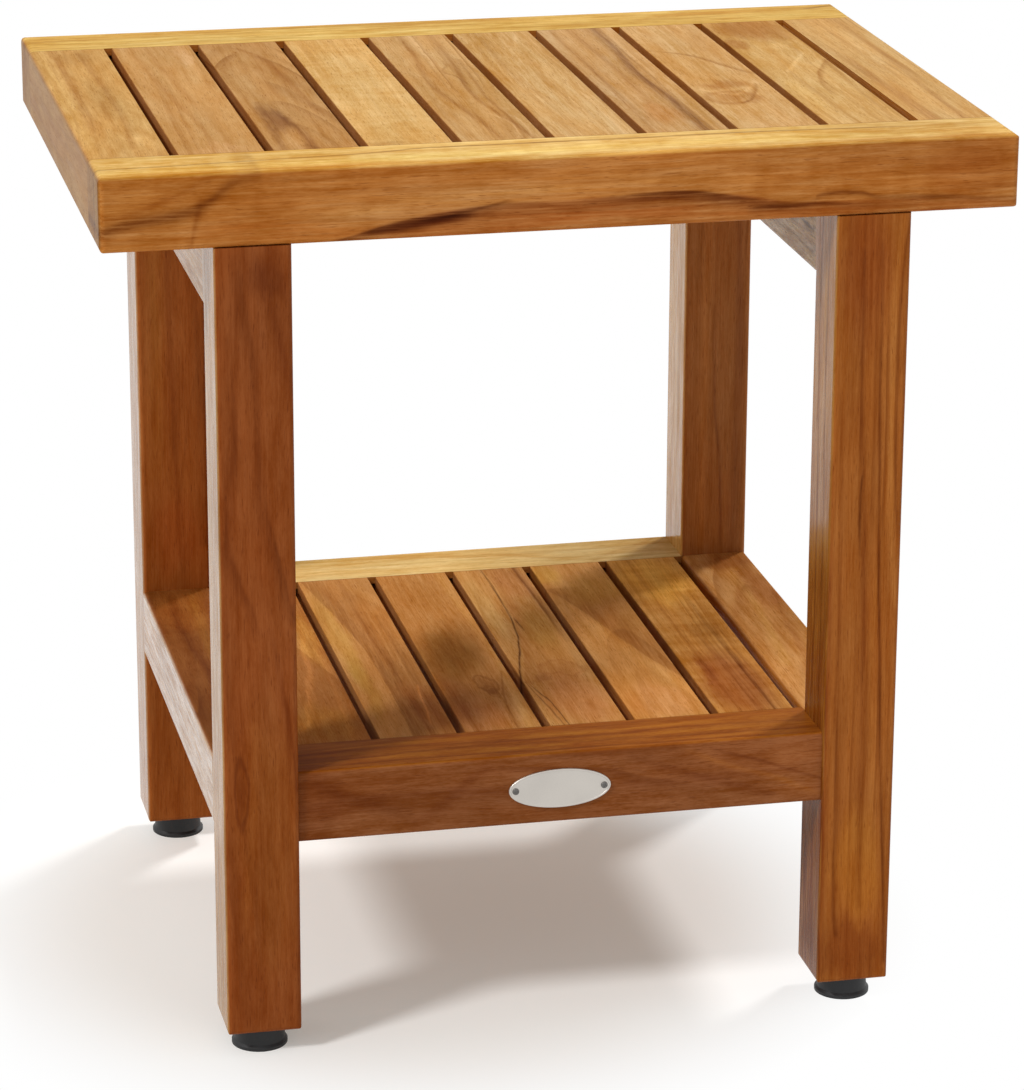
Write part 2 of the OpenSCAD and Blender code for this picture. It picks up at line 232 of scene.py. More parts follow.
# where an effect begins and where it is full, on its noise or across one ring
teakReach = {
    "lateWood": (0.30, 0.90),
    "ringEnd": (0.93, 1.0),
    "shown": (0.36, 0.62),
    "streaks": (0.54, 0.68),
    "pores": (0.62, 0.74),
    "hue": (0.30, 0.70),
}

teakShares = {
    "seedShift": (0.37, 0.71, 1.13),  # how far a board's seed moves it through the noises
    "crowding": (0.6, 2.0),  # pace and size of the change in the rings' width
    "ringDepth": (0.8, 0.2),
    "fineTone": 0.8,
    "bandTone": 0.6,
    "fibreRough": 0.22,
    "poreRough": 0.12,
    "fineHeight": 0.45,
    "fibreHeight": 0.55,
    "poreHeight": 0.5,
    "ringHeight": 0.12,
}

# a board's own values and the group's inputs that take them
grainInputs = {
    "seed": "Seed", "lean": "Lean", "sway": "Sway", "ring": "Ring Width", "wander": "Wander",
    "rings": "Ring Strength", "fibre": "Fibre Strength", "patch": "Patch Strength",
    "pores": "Pore Strength", "curl": "Curl Strength", "streaks": "Streak Strength",
    "mottle": "Mottle Strength", "flecks": "Fleck Strength",
}


def teakGrainGroup():
    group, get, give = newGroup(
        "teakGrain",
        {
            "Vector": ("Place",), "Color": ("Middle",),
            "Float": ("Pith Across", "Pith Depth", *grainInputs.values(), "Roughness"),
        },
        {"Color": ("Color",), "Float": ("Roughness", "Height")},
    )

    def grainNoise(name, place, colour=False):
        return noise(group, place, *teakNoise[name], colour)

    def reach(name, value):
        return ramp(group, value, *teakReach[name])

    def swing(value, strength):
        return times(group, minus(group, value, 0.5), strength)

    shift = put(group, "ShaderNodeCombineXYZ", {
        axis: times(group, get["Seed"], step) for axis, step in enumerate(teakShares["seedShift"])
    }).outputs[0]
    own = vec(group, "ADD", get["Place"], shift)
    wander = vec(group, "SUBTRACT", grainNoise("wander", own, True), (0.5, 0.5, 0.5))
    wander = stretched(group, wander, get["Wander"])
    bent = vec(group, "ADD", get["Place"], wander)
    ownBent = vec(group, "ADD", own, wander)
    part = apart(group, bent)
    across = minus(group, part[0], timesPlus(group, get["Sway"], part[2], get["Pith Across"]))
    deep = minus(group, part[1], timesPlus(group, get["Lean"], part[2], get["Pith Depth"]))
    squares = [calc(group, "POWER", side, 2.0) for side in (across, deep)]
    count = calc(group, "DIVIDE", calc(group, "SQRT", plus(group, *squares)), get["Ring Width"])
    pace, crowding = teakShares["crowding"]
    uneven = put(group, "ShaderNodeTexNoise", {
        "W": timesPlus(group, count, pace, get["Seed"]), "Scale": 1.0, "Detail": 1.0,
    }, noise_dimensions="1D").outputs["Fac"]
    count = timesPlus(group, uneven, crowding, count)
    within = calc(group, "FRACT", count)
    late = times(group, reach("lateWood", within), minus(group, 1.0, reach("ringEnd", within)))
    each = put(group, "ShaderNodeTexWhiteNoise", {
        "W": plus(group, calc(group, "FLOOR", count), get["Seed"]),
    }, noise_dimensions="1D").outputs["Value"]
    rings = times(group, late, timesPlus(group, each, *teakShares["ringDepth"]))
    rings = times(group, rings, reach("shown", grainNoise("shown", own)))
    fibre = grainNoise("fibre", ownBent)
    fine = grainNoise("fine", ownBent)
    band = grainNoise("band", ownBent)
    streaks = reach("streaks", band)
    pores = reach("pores", grainNoise("pores", ownBent))

    tone = plus(group, swing(grainNoise("patch", own), get["Patch Strength"]), 0.5)
    tone = plus(group, tone, swing(fibre, get["Fibre Strength"]))
    tone = plus(group, tone, times(group, swing(fine, get["Fibre Strength"]), teakShares["fineTone"]))
    tone = minus(group, tone, times(group, swing(band, get["Fibre Strength"]), teakShares["bandTone"]))
    tone = plus(group, tone, swing(grainNoise("mottle", bent), get["Mottle Strength"]))
    tone = plus(group, tone, swing(grainNoise("flecks", ownBent), get["Fleck Strength"]))
    tone = plus(group, tone, swing(grainNoise("curl", own), get["Curl Strength"]), clamp=True)
    light, dark, line, streak, pore = (
        shaded(group, get["Middle"], rgba(teakShades[name]))
        for name in ("light", "dark", "line", "streak", "pore")
    )
    colour = mixColour(group, tone, dark, light)
    colour = mixColour(group, times(group, streaks, get["Streak Strength"]), colour, streak)
    hue = reach("hue", grainNoise("hue", own))
    colour = shaded(group, colour, mixColour(group, hue, rgba(teakShades["red"]), rgba(teakShades["gold"])))
    colour = mixColour(group, times(group, rings, get["Ring Strength"]), colour, line)
    colour = mixColour(group, times(group, pores, get["Pore Strength"]), colour, pore)
    rough = plus(group, swing(fibre, teakShares["fibreRough"]), get["Roughness"])
    rough = timesPlus(group, pores, teakShares["poreRough"], rough)
    height = timesPlus(group, fine, teakShares["fineHeight"], times(group, fibre, teakShares["fibreHeight"]))
    height = minus(group, height, times(group, pores, teakShares["poreHeight"]))
    height = minus(group, height, times(group, rings, teakShares["ringHeight"]))
    return giveOut(group, give, {"Color": colour, "Roughness": rough, "Height": height})


# a line in the grain: "Low Width" on its low side, "High Width" on its high side

lineBreaks = (0.25, 0.65, 0.5, 1.0)  # from and to on the noise, and the strengths there


def grainLineGroup():
    group, get, give = newGroup(
        "grainLine",
        {"Float": ("Offset", "Low Width", "High Width", "Strength", "Rag", "Ragged", "Breaks")},
        {"Float": ("Mask",)},
    )
    offset = timesPlus(group, minus(group, get["Rag"], 0.5), get["Ragged"], get["Offset"])
    side = calc(group, "GREATER_THAN", offset, 0.0)
    share = calc(group, "DIVIDE", offset, between(group, side, get["Low Width"], get["High Width"]))
    fall = calc(group, "EXPONENT", times(group, times(group, share, share), -1.0))
    broken = ramp(group, get["Breaks"], *lineBreaks)
    mask = times(group, times(group, fall, broken), get["Strength"], clamp=True)
    return giveOut(group, give, {"Mask": mask})


# a patch, swirl or eye in the grain, with its outline; 1 is its own radius

spotReach = {"outside": (1.0, 1.35), "outline": (0.70, 0.98), "inside": (0.35, 1.05)}


def grainSpotGroup():
    group, get, give = newGroup(
        "grainSpot",
        {"Vector": ("Place", "Wobble"), "Float": ("Across", "Along", "Wide", "Long", "Tilt", "Wobbling")},
        {"Float": ("Outline", "Inside")},
    )
    middle = put(group, "ShaderNodeCombineXYZ", {0: get["Across"], 2: get["Along"]}).outputs[0]
    wobble = stretched(group, get["Wobble"], get["Wobbling"])
    own = vec(group, "SUBTRACT", vec(group, "ADD", get["Place"], wobble), middle)
    turned = put(group, "ShaderNodeVectorRotate", {
        "Vector": own, "Angle": get["Tilt"],
    }, rotation_type="Y_AXIS").outputs[0]
    part = apart(group, turned)
    x = calc(group, "DIVIDE", part[0], get["Wide"])
    z = calc(group, "DIVIDE", part[2], get["Long"])
    far = calc(group, "SQRT", plus(group, times(group, x, x), times(group, z, z)))
    outer = minus(group, 1.0, ramp(group, far, *spotReach["outside"]))
    return giveOut(group, give, {
        "Outline": times(group, ramp(group, far, *spotReach["outline"]), outer),
        "Inside": minus(group, 1.0, ramp(group, far, *spotReach["inside"])),
    })


# which way each face of a board looks: up, to the left, at a worn edge, or across the end grain

faceReach = {
    "upward": (0.45, 0.95),
    "leftward": (0.55, 0.95),
    "flat": (0.80, 0.985),
    "endGrain": (0.75, 0.95),
    "wear": (0.35, 0.65, 0.35, 1.0),
}
wearNoise = ((0.012, 0.012, 0.012), 3.0, 0.65)


def boardFacesGroup():
    group, get, give = newGroup(
        "boardFaces",
        {"Vector": ("Normal", "Grain Axis", "Place")},
        {"Float": ("Upward", "Leftward", "Edge", "End Grain")},
    )
    part = apart(group, get["Normal"])
    flat = apart(group, vec(group, "ABSOLUTE", get["Normal"]))
    largest = calc(group, "MAXIMUM", calc(group, "MAXIMUM", flat[0], flat[1]), flat[2])
    edge = minus(group, 1.0, ramp(group, largest, *faceReach["flat"]))
    worn = ramp(group, noise(group, get["Place"], *wearNoise), *faceReach["wear"])
    along = put(group, "ShaderNodeVectorMath", {
        0: get["Normal"], 1: get["Grain Axis"],
    }, operation="DOT_PRODUCT").outputs[1]
    return giveOut(group, give, {
        "Upward": ramp(group, part[2], *faceReach["upward"]),
        "Leftward": ramp(group, times(group, part[0], -1.0), *faceReach["leftward"]),
        "Edge": times(group, edge, worn),
        "End Grain": ramp(group, calc(group, "ABSOLUTE", along), *faceReach["endGrain"]),
    })


teakGrain = teakGrainGroup()
grainLine = grainLineGroup()
grainSpot = grainSpotGroup()
boardFaces = boardFacesGroup()

grainTurns = {
    "X": {"turn": (0.0, math.radians(90), 0.0), "axis": (1.0, 0.0, 0.0)},
    "Y": {"turn": (math.radians(-90), 0.0, 0.0), "axis": (0.0, 1.0, 0.0)},
    "Z": {"turn": (0.0, 0.0, 0.0), "axis": (0.0, 0.0, 1.0)},
}

boardDefaults = {
    "grain": "Y",
    "middle": (0.36, 0.12, 0.018),
    "top": None,
    # side: a paler colour painted on the faces that look left; it is a painted reflection of the bright
    # surround those faces catch, not the wood's own colour
    "side": None,
    "coat": 0.0,
    "pith": (0.004, 0.045),
    "lean": 0.05,
    "sway": 0.0,
    "ring": 0.0045,
    "wander": 0.010,
    "rings": 0.6,
    "fibre": 0.85,
    "patch": 0.7,
    "mottle": 0.55,
    "flecks": 0.7,
    "pores": 0.6,
    "curl": 0.0,
    "streaks": 0.30,
    "lines": (),
    "spots": (),
    "gloss": 0.04,
    "rough": 0.27,
    "topRough": 0.60,
    "bump": 0.18,
    "wear": 0.4,
    "seam": None,
}

slatDefaults = {
    # side: the painted left-face colour on the slats' gap walls, matched to how those walls look in the gaps'
    # light rather than to the wood
    "side": (0.34, 0.135, 0.035),
    "rough": 0.70,
    "gloss": 0.01,
    "mottle": 0.75,
    "patch": 0.9,
}

# what all boards share: the marks' frayed shapes, joints, end grain, worn edges and the left faces' coat
boardFinish = {
    "lineFade": 0.004,
    "ragNoise": ((0.006, 0.006, 0.035), 3.0, 0.6),
    "breakNoise": ((0.0014, 0.0014, 0.035), 2.0, 0.5),
    "wobbleNoise": ((0.012, 0.012, 0.030), 3.0, 0.6),
    "wobble": (0.012, 0.0, 0.034),
    "seamFrom": 1.1,
    "seamTo": 0.2,
    "seamShade": (0.50, 0.40, 0.34),
    "seamStrength": 0.7,
    "endShade": (0.84, 0.86, 0.90),
    "endStrength": 0.8,
    "edgeShade": (1.16, 1.16, 1.14),
    "edgeRough": -0.05,
    "bumpDepth": 0.0004,
    "coatNoise": ((0.0022, 0.0022, 0.028), 4.0, 0.7),
    "coatWorn": (0.32, 0.68, 0.45, 1.5),
    "coatRough": 0.14,
}

brown = (0.64, 0.50, 0.36)
darkBrown = (0.38, 0.25, 0.17)
plum = (0.60, 0.49, 0.44)
pale = (1.18, 1.27, 1.50)


def stripe(low, high, shade, *points, across=0, ragged=2.0):
    # widths on its low and high side, and points (along, across, strength), in mm from the board's middle
    return {"low": low, "high": high, "shade": shade, "points": points, "across": across, "ragged": ragged}


def patch(at, size, shade, inside=0.9, outline=0.0, tilt=0.0, steady=1.0):
    # at and size are (across, along) in millimetres; steady below 1 keeps its outline calm
    return {
        "at": at, "size": size, "shade": shade, "inside": inside, "outline": outline, "tilt": tilt,
        "steady": steady,
    }


def curveOf(tree, along, points, low, high):
    # a run of values drawn along a board: points are (place along, value), place in millimetres
    first, last = points[0][0], points[-1][0]
    share = ramp(tree, along, first * millimetre, last * millimetre, kind="LINEAR")
    node = put(tree, "ShaderNodeFloatCurve", {"Value": share})
    curve = node.mapping.curves[0]
    scaled = [((a - first) / (last - first), (v - low) / (high - low)) for a, v in points]
    curve.points[0].location = scaled[0]
    curve.points[1].location = scaled[-1]
    for place in scaled[1:-1]:
        curve.points.new(*place)
    node.mapping.update()
    return put(tree, "ShaderNodeMapRange", {0: node.outputs[0], 3: low, 4: high}, clamp=False).outputs[0]


def addLine(tree, colour, parts, rag, breaks, line):
    points = line["points"]
    values = [p[1] for p in points]
    low, high = min(values) - 1.0, max(values) + 1.0
    centre = curveOf(tree, parts[2], [(p[0], p[1]) for p in points], low, high)
    strength = curveOf(tree, parts[2], [(p[0], p[2]) for p in points], 0.0, 1.0)
    first, last = points[0][0] * millimetre, points[-1][0] * millimetre
    fade = boardFinish["lineFade"]
    inRange = times(
        tree, ramp(tree, parts[2], first - fade, first), ramp(tree, parts[2], last + fade, last)
    )
    mask = useGroup(tree, grainLine, {
        "Offset": timesPlus(tree, centre, -millimetre, parts[line["across"]]),
        "Strength": times(tree, strength, inRange),
        "Low Width": line["low"] * millimetre, "High Width": line["high"] * millimetre,
        "Rag": rag, "Ragged": line["ragged"] * millimetre, "Breaks": breaks,
    })["Mask"]
    return mixColour(tree, mask, colour, shaded(tree, colour, rgba(line["shade"])))


def addSpot(tree, colour, place, wobble, spot):
    found = useGroup(tree, grainSpot, {
        "Place": place, "Wobble": wobble, "Tilt": math.radians(spot["tilt"]),
        "Across": spot["at"][0] * millimetre, "Along": spot["at"][1] * millimetre,
        "Wide": spot["size"][0] * millimetre, "Long": spot["size"][1] * millimetre,
        "Wobbling": spot["steady"],
    })
    mask = times(tree, found["Inside"], spot["inside"])
    mask = timesPlus(tree, found["Outline"], spot["outline"], mask)
    return mixColour(tree, mask, colour, shaded(tree, colour, rgba(spot["shade"])))


def addCoat(tree, shader, place, colour, leftward, look):
    # the sheen on faces that look left, thinner where the wood is dark or worn
    worn = ramp(tree, noise(tree, place, *boardFinish["coatNoise"]), *boardFinish["coatWorn"])
    red = put(tree, "ShaderNodeSeparateColor", {0: colour}).outputs[0]
    depth = times(tree, red, look["coat"] / look["side"][0], clamp=True)
    weight = times(tree, leftward, times(tree, worn, depth))
    tree.links.new(weight, shader.inputs["Coat Weight"])
    shader.inputs["Coat Roughness"].default_value = boardFinish["coatRough"]


def teakMaterial(name, board):
    look = {**boardDefaults, **(slatDefaults if "slat" in name else {}), **board}
    finish = boardFinish
    low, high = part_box(name)
    turned = grainTurns[look["grain"]]
    material, tree, shader = newMaterial("teak_" + name)
    where = put(tree, "ShaderNodeTexCoord").outputs
    place = put(tree, "ShaderNodeMapping", {
        "Vector": where["Object"], "Location": (low + high) / 2, "Rotation": turned["turn"],
    }, vector_type="TEXTURE").outputs[0]
    faces = useGroup(tree, boardFaces, {
        "Normal": where["Normal"], "Grain Axis": turned["axis"], "Place": place,
    })
    middle = rgba(look["middle"])
    # faces that look left take the paler side colour, a painted reflection of the bright surround
    if look["side"]:
        middle = mixColour(tree, faces["Leftward"], middle, rgba(look["side"]))
    if look["top"]:
        middle = mixColour(tree, faces["Upward"], middle, rgba(look["top"]))
    grain = useGroup(tree, teakGrain, {
        "Place": place, "Middle": middle, "Pith Across": look["pith"][0], "Pith Depth": look["pith"][1],
        "Roughness": between(tree, faces["Upward"], look["rough"], look["topRough"]),
        **{socket: look[key] for key, socket in grainInputs.items()},
    })
    colour = grain["Color"]
    parts = apart(tree, place)
    if look["spots"]:
        wobble = vec(tree, "SUBTRACT", noise(tree, place, *finish["wobbleNoise"], True), (0.5, 0.5, 0.5))
        wobble = vec(tree, "MULTIPLY", wobble, finish["wobble"])
    for spot in look["spots"]:
        colour = addSpot(tree, colour, place, wobble, spot)
    if look["lines"]:
        rag = noise(tree, place, *finish["ragNoise"])
        breaks = noise(tree, place, *finish["breakNoise"])
    for line in look["lines"]:
        colour = addLine(tree, colour, parts, rag, breaks, line)
    if look["seam"]:
        middleAlong, joint = look["seam"]
        away = calc(tree, "ABSOLUTE", minus(tree, parts[2], middleAlong * millimetre))
        seam = ramp(
            tree, away, (joint - finish["seamFrom"]) * millimetre, (joint - finish["seamTo"]) * millimetre
        )
        seam = times(tree, seam, finish["seamStrength"])
        colour = mixColour(tree, seam, colour, shaded(tree, colour, rgba(finish["seamShade"])))
    ends = times(tree, faces["End Grain"], finish["endStrength"])
    colour = mixColour(tree, ends, colour, shaded(tree, colour, rgba(finish["endShade"])))
    edges = times(tree, faces["Edge"], look["wear"])
    colour = mixColour(tree, edges, colour, shaded(tree, colour, rgba(finish["edgeShade"])))
    rough = timesPlus(tree, faces["Edge"], finish["edgeRough"], grain["Roughness"])
    bump = put(tree, "ShaderNodeBump", {
        "Height": grain["Height"], "Strength": look["bump"], "Distance": finish["bumpDepth"],
    })
    tree.links.new(colour, shader.inputs["Base Color"])
    tree.links.new(rough, shader.inputs["Roughness"])
    tree.links.new(bump.outputs[0], shader.inputs["Normal"])
    shader.inputs["Specular IOR Level"].default_value = look["gloss"]
    if look["coat"]:
        addCoat(tree, shader, place, colour, faces["Leftward"], look)
    return material


# seat boards, left to right; stripes and patches are in millimetres from each board's middle; a board's side
# colour is a painted reflection on its faces that look left

seatBoards = {
    "seat_front_rail": {
        "grain": "X", "seed": 1.3, "wear": 0.1, "middle": (0.519, 0.227, 0.061),
        "top": (0.745, 0.469, 0.138), "pith": (-0.080, 0.030), "lean": 0.01, "ring": 0.006, "rings": 0.3,
        "patch": 1.3, "fibre": 1.1, "rough": 0.36, "gloss": 0.03, "mottle": 1.7, "curl": 0.6,
        "side": (0.35, 0.175, 0.048),
        "lines": (
            stripe(2.8, 3.4, (0.36, 0.23, 0.15), (-228, 8.5, 0.8), (-213, 4.2, 0.9), (-197, 1.8, 0.9),
                (-184, -0.5, 0.9), (-176, -4.3, 0.8), (-169, -10, 0.6), (-163, -14, 0.5), (-152, -17, 0.4)),
            stripe(1.6, 2.0, (0.74, 0.60, 0.46), (-228, 3, 0.3), (-205, -3, 0.5), (-190, -9, 0.5),
                (-180, -14, 0.4), (-170, -18, 0.2)),
            stripe(1.0, 4.4, (0.30, 0.20, 0.20), (-118, 19, 0.5), (-105, 15.5, 0.8), (-90, 11.5, 1.0),
                (-75, 9.0, 1.0), (-58, 6.5, 1.0), (-45, 5, 0.9), (-28, 4, 0.6), (0, 4.5, 0.45),
                (22, 3.5, 0.6), (40, 2.2, 0.9), (60, 2.4, 1.0), (76, 4.6, 0.9), (92, 7.6, 0.7),
                (104, 9.5, 0.4), (120, 10.5, 0.2)),
            stripe(0.8, 15.0, (0.78, 0.62, 0.58), (-96, 15, 0.2), (-75, 9, 0.7), (-45, 5, 0.9),
                (22, 3.5, 0.9), (76, 4.6, 0.9), (120, 10.5, 0.8), (160, 11, 0.7), (228, 15, 0.5)),
            stripe(2.0, 2.6, (0.40, 0.26, 0.22), (-100, 14.5, 0.3), (-82, 12.5, 1.0), (-62, 10.0, 1.0),
                (-48, 8.5, 0.3)),
            stripe(0.8, 1.4, darkBrown, (-74, 10, 0.2), (-60, 8, 0.8), (-49, 6.2, 0.9), (-38, 3.8, 0.8),
                (-30, 2.2, 0.4)),
            stripe(4.0, 5.0, (0.90, 0.74, 0.58), (-40, 15, 0.3), (-10, 12, 0.7), (30, 11, 0.7),
                (60, 10, 0.3)),
            stripe(1.4, 2.2, (0.36, 0.25, 0.22), (92, 12, 0.5), (104, 11.2, 0.95), (125, 11.2, 0.9),
                (145, 12.4, 0.5), (175, 14, 0.2)),
            stripe(1.0, 1.8, (0.42, 0.30, 0.26), (124, 9, 0.3), (134, 6, 0.8), (146, 6.2, 0.8),
                (156, 9.0, 0.7), (172, 9.6, 0.8), (192, 10.8, 0.8), (208, 12.2, 0.6), (228, 13.6, 0.5)),
            stripe(4.5, 3.0, (1.18, 1.32, 1.5), (-120, 6, 0.2), (-90, 3, 0.8), (-60, -1, 0.9),
                (-20, -2.5, 0.8), (20, -3.5, 0.7), (60, -4, 0.3), (100, -2, 0.2)),
            stripe(4.0, 5.0, (1.05, 0.92, 0.80), (-228, 12, 0.6), (-200, 9, 0.4), (-170, 10, 0.6),
                (-130, 12, 0.7), (-60, 16, 0.7), (20, 12, 0.6), (90, 14, 0.5), (228, 17, 0.4)),
            stripe(0.8, 1.5, (0.36, 0.26, 0.14), (-228, -3.5, 0.7), (-200, -2.0, 0.7), (-150, 1.5, 0.6),
                (-100, 5.0, 0.8), (-78, 8.5, 1.0), (-62, 11.0, 1.0), (-20, 11.0, 0.9), (50, 11.2, 1.0),
                (100, 12.0, 0.9), (140, 10.5, 0.7), (180, 8, 0.4), across=1, ragged=1.2),
            # painted shade: a darker orange band along the front edge of the top, where it rounds over
            # towards the face
            stripe(5.0, 4.4, (0.82, 0.62, 0.34), (-228, -18.5, 1.0), (-90, -18, 1.0), (60, -18.5, 1.0),
                (228, -18, 1.0), across=1),
            stripe(6.0, 6.0, brown, (-185, 18, 0.5), (-183, 8, 0.8), (-181, 1, 0.8), (-179, -3, 0.3),
                ragged=0.5),
            stripe(1.6, 3.0, (0.92, 0.84, 0.66), (-228, 14, 0.3), (-160, 8, 0.6), (-60, 13, 0.5),
                (60, 16, 0.6), (228, 9, 0.4), across=1, ragged=3.0),
            stripe(7.0, 7.0, (1.05, 1.06, 0.85), (-228, -14, 0.6), (-100, -8, 0.8), (0, -4, 0.8),
                (100, -3, 0.7), (228, -8, 0.4), across=1),
        ),
        "spots": (
            patch((-14, 180), (14, 70), (0.86, 0.80, 0.75)),
            patch((3, -157), (16, 22), (0.90, 0.80, 0.68), inside=0.5, outline=0.35),
            patch((0, 205), (20, 34), (0.86, 0.74, 0.62)),
        ),
    },
    "seat_back_rail": {
        "grain": "X", "seed": 2.1, "wear": 0.2, "middle": (0.47, 0.160, 0.024),
        "top": (0.657, 0.400, 0.091), "pith": (-0.06, -0.05), "lean": 0.02, "ring": 0.006, "rings": 0.3,
        "patch": 1.2, "fibre": 1.2, "rough": 0.36, "gloss": 0.03, "mottle": 1.6,
        "side": (0.35, 0.175, 0.048),
        "lines": (
            stripe(5.0, 5.0, (0.82, 0.66, 0.42), (-228, 3, 0.7), (-190, 9, 0.8), (-130, 12, 0.8),
                (-70, 14, 0.7), (0, 13, 0.8), (40, 16, 0.6), across=1, ragged=6.0),
            stripe(4.0, 4.0, (1.09, 1.16, 1.35), (-228, -13, 0.5), (-150, -10, 0.8), (-60, -9, 0.8),
                (20, -6, 0.8), (60, 0, 0.9), (100, 6, 0.9), (130, 12, 0.6), across=1, ragged=5.0),
            stripe(6.0, 4.0, (0.83, 0.67, 0.44), (110, 0, 0.3), (140, 6, 0.8), (170, 9, 0.9),
                (200, 12, 0.8), (228, 14, 0.7), across=1, ragged=5.0),
            stripe(1.6, 2.4, (0.90, 0.80, 0.64), (-60, -4, 0.2), (-20, 2, 0.6), (20, 4, 0.5), (60, 11, 0.4),
                across=1, ragged=3.0),
            stripe(1.2, 1.6, (0.40, 0.32, 0.28), (208, 8, 0.3), (215, 9, 1.0), (222, 12, 0.9),
                (228, 13, 0.4), across=1, ragged=4.0),
        ),
    },
    "seat_left_end_board": {
        "seed": 3.7, "middle": (0.44, 0.17, 0.035), "top": (0.562, 0.302, 0.081), "seam": (0.0, 125.0),
        "pith": (0.05, 0.03), "ring": 0.005, "rings": 0.25, "mottle": 1.3, "rough": 0.36, "gloss": 0.03,
        "side": (0.35, 0.175, 0.048),
        "lines": (
            stripe(4.0, 2.4, (1.14, 1.22, 1.3), (-125, -15, 0.7), (-40, -14.5, 0.9), (60, -15, 0.9),
                (125, -16, 0.7)),
            stripe(1.0, 3.5, brown, (-70, -9.5, 0.2), (-20, -9, 0.6), (50, -8.5, 0.6), (125, -9, 0.5)),
            stripe(1.0, 2.5, brown, (-110, 4, 0.0), (-80, 6, 0.5), (-30, 8, 0.4), (40, 7, 0.5),
                (120, 4, 0.3)),
        ),
        "spots": (
            patch((4, 5), (11, 55), (0.84, 0.80, 0.72)),
            patch((12, -92), (6, 20), (1.16, 1.20, 1.30), tilt=12),
            patch((2, 105), (14, 22), (0.88, 0.86, 0.84)),
        ),
    },
    "seat_slat_1": {
        "seed": 4.2, "top": (0.522, 0.269, 0.080), "seam": (0.0, 125.0), "pith": (0.06, 0.02),
        "ring": 0.006, "rings": 0.25, "streaks": 0.2,
        "lines": (
            stripe(1.0, 3.0, (0.80, 0.69, 0.56), (-125, -3, 0.5), (-70, -2, 0.7), (-20, -6, 0.7),
                (50, -10, 0.5), (125, -13, 0.3)),
            stripe(1.2, 2.0, (0.84, 0.74, 0.62), (-125, 6, 0.3), (-30, 3, 0.6), (40, -1, 0.6),
                (125, -4, 0.4)),
            stripe(3.0, 3.0, pale, (40, 14, 0.4), (80, 14.5, 0.8), (125, 15, 0.8)),
        ),
        "spots": (
            patch((0, -116), (17, 12), (1.10, 1.12, 1.25)),
            patch((13, 98), (6, 22), (1.10, 1.13, 1.30)),
        ),
    },
    "seat_slat_2": {
        "seed": 5.9, "top": (0.475, 0.240, 0.071), "seam": (0.0, 125.0), "pith": (-0.004, 0.036),
        "lean": 0.09, "ring": 0.0046, "rings": 0.7, "wander": 0.007,
        "lines": (
            stripe(2.0, 2.2, plum, (-125, -16, 0.5), (-100, -15.5, 0.8), (-80, -14.5, 0.9),
                (-50, -13.5, 0.8), (-20, -13, 0.4), ragged=5.0),
            stripe(2.2, 2.6, plum, (-125, -1, 0.9), (-95, -1.5, 1.0), (-72, -3, 0.9), (-45, -6, 0.7),
                (-25, -9, 0.3), ragged=5.0),
            stripe(2.6, 1.6, (0.74, 0.60, 0.46), (-60, 16, 0.2), (0, 13, 0.7), (45, 11, 0.8), (80, 8, 0.8),
                (104, 1, 0.7), (114, -5, 0.2)),
            stripe(1.6, 2.6, (0.80, 0.68, 0.54), (40, -18, 0.2), (75, -14, 0.6), (95, -8, 0.6),
                (106, -2, 0.3)),
        ),
        "spots": (
            patch((-9.5, -58), (8.5, 36), (0.60, 0.50, 0.47), inside=1.0, tilt=4),
            patch((-9, -108), (5, 26), (1.14, 1.22, 1.40)),
        ),
    },
    "seat_slat_3": {
        "seed": 6.4, "top": (0.658, 0.384, 0.122), "seam": (0.0, 125.0), "pith": (0.12, 0.02),
        "rings": 0.2, "curl": 0.55, "fibre": 0.7, "streaks": 0.1, "mottle": 0.5,
        "lines": (
            stripe(0.8, 1.0, (1.06, 1.09, 1.18), (-40, -8, 0.2), (10, -6, 0.7), (60, -3, 0.7),
                (110, 2, 0.5), (125, 3, 0.4)),
            stripe(1.0, 3.0, (1.05, 1.08, 1.15), (-125, 10, 0.3), (-80, 9, 0.6), (-30, 13, 0.6),
                (20, 15, 0.4)),
        ),
        "spots": (
            patch((-12, -120), (12, 8), (0.84, 0.80, 0.74)),
            patch((0, -100), (26, 30), (0.96, 0.93, 0.86)),
            patch((-4, 30), (26, 14), (0.97, 0.94, 0.88)),
        ),
    },
    "seat_slat_4": {
        "seed": 7.7, "top": (0.545, 0.298, 0.096), "seam": (0.0, 125.0), "pith": (0.09, 0.01),
        "ring": 0.006, "rings": 0.6, "wander": 0.016,
        "lines": (
            stripe(1.2, 2.6, brown, (-125, -1, 0.4), (-90, -3, 0.6), (-40, -8, 0.7), (0, -11, 0.7),
                (40, -9, 0.6), (80, -6, 0.8), (125, -5, 0.8)),
            stripe(1.0, 2.0, brown, (-125, 15, 0.6), (-100, 13, 0.8), (-60, 8, 0.7), (-20, 5, 0.8),
                (20, 8, 0.7), (60, 11, 0.6), (125, 12, 0.4)),
            stripe(1.0, 1.4, brown, (-125, 8, 0.5), (-80, 13, 0.7), (-40, 11, 0.7), (10, 13, 0.6),
                (60, 15, 0.5)),
            stripe(2.0, 2.0, pale, (20, 2, 0.3), (60, 1, 0.8), (125, 0, 0.8)),
            stripe(0.9, 1.2, pale, (-125, 6, 0.7), (-108, 10, 1.0), (-92, 11, 1.0), (-74, 7, 0.8),
                (-60, 2, 0.3)),
            stripe(0.8, 1.0, pale, (-125, 13, 0.7), (-110, 16, 1.0), (-90, 17, 0.8), (-70, 14, 0.5),
                (-50, 12, 0.2)),
            stripe(0.9, 0.9, (0.74, 0.64, 0.54), (0, 8, 0.3), (20, 6, 0.9), (34, 2, 0.9), (48, 6, 0.8),
                (62, 5, 0.3)),
        ),
    },
    "seat_slat_5": {
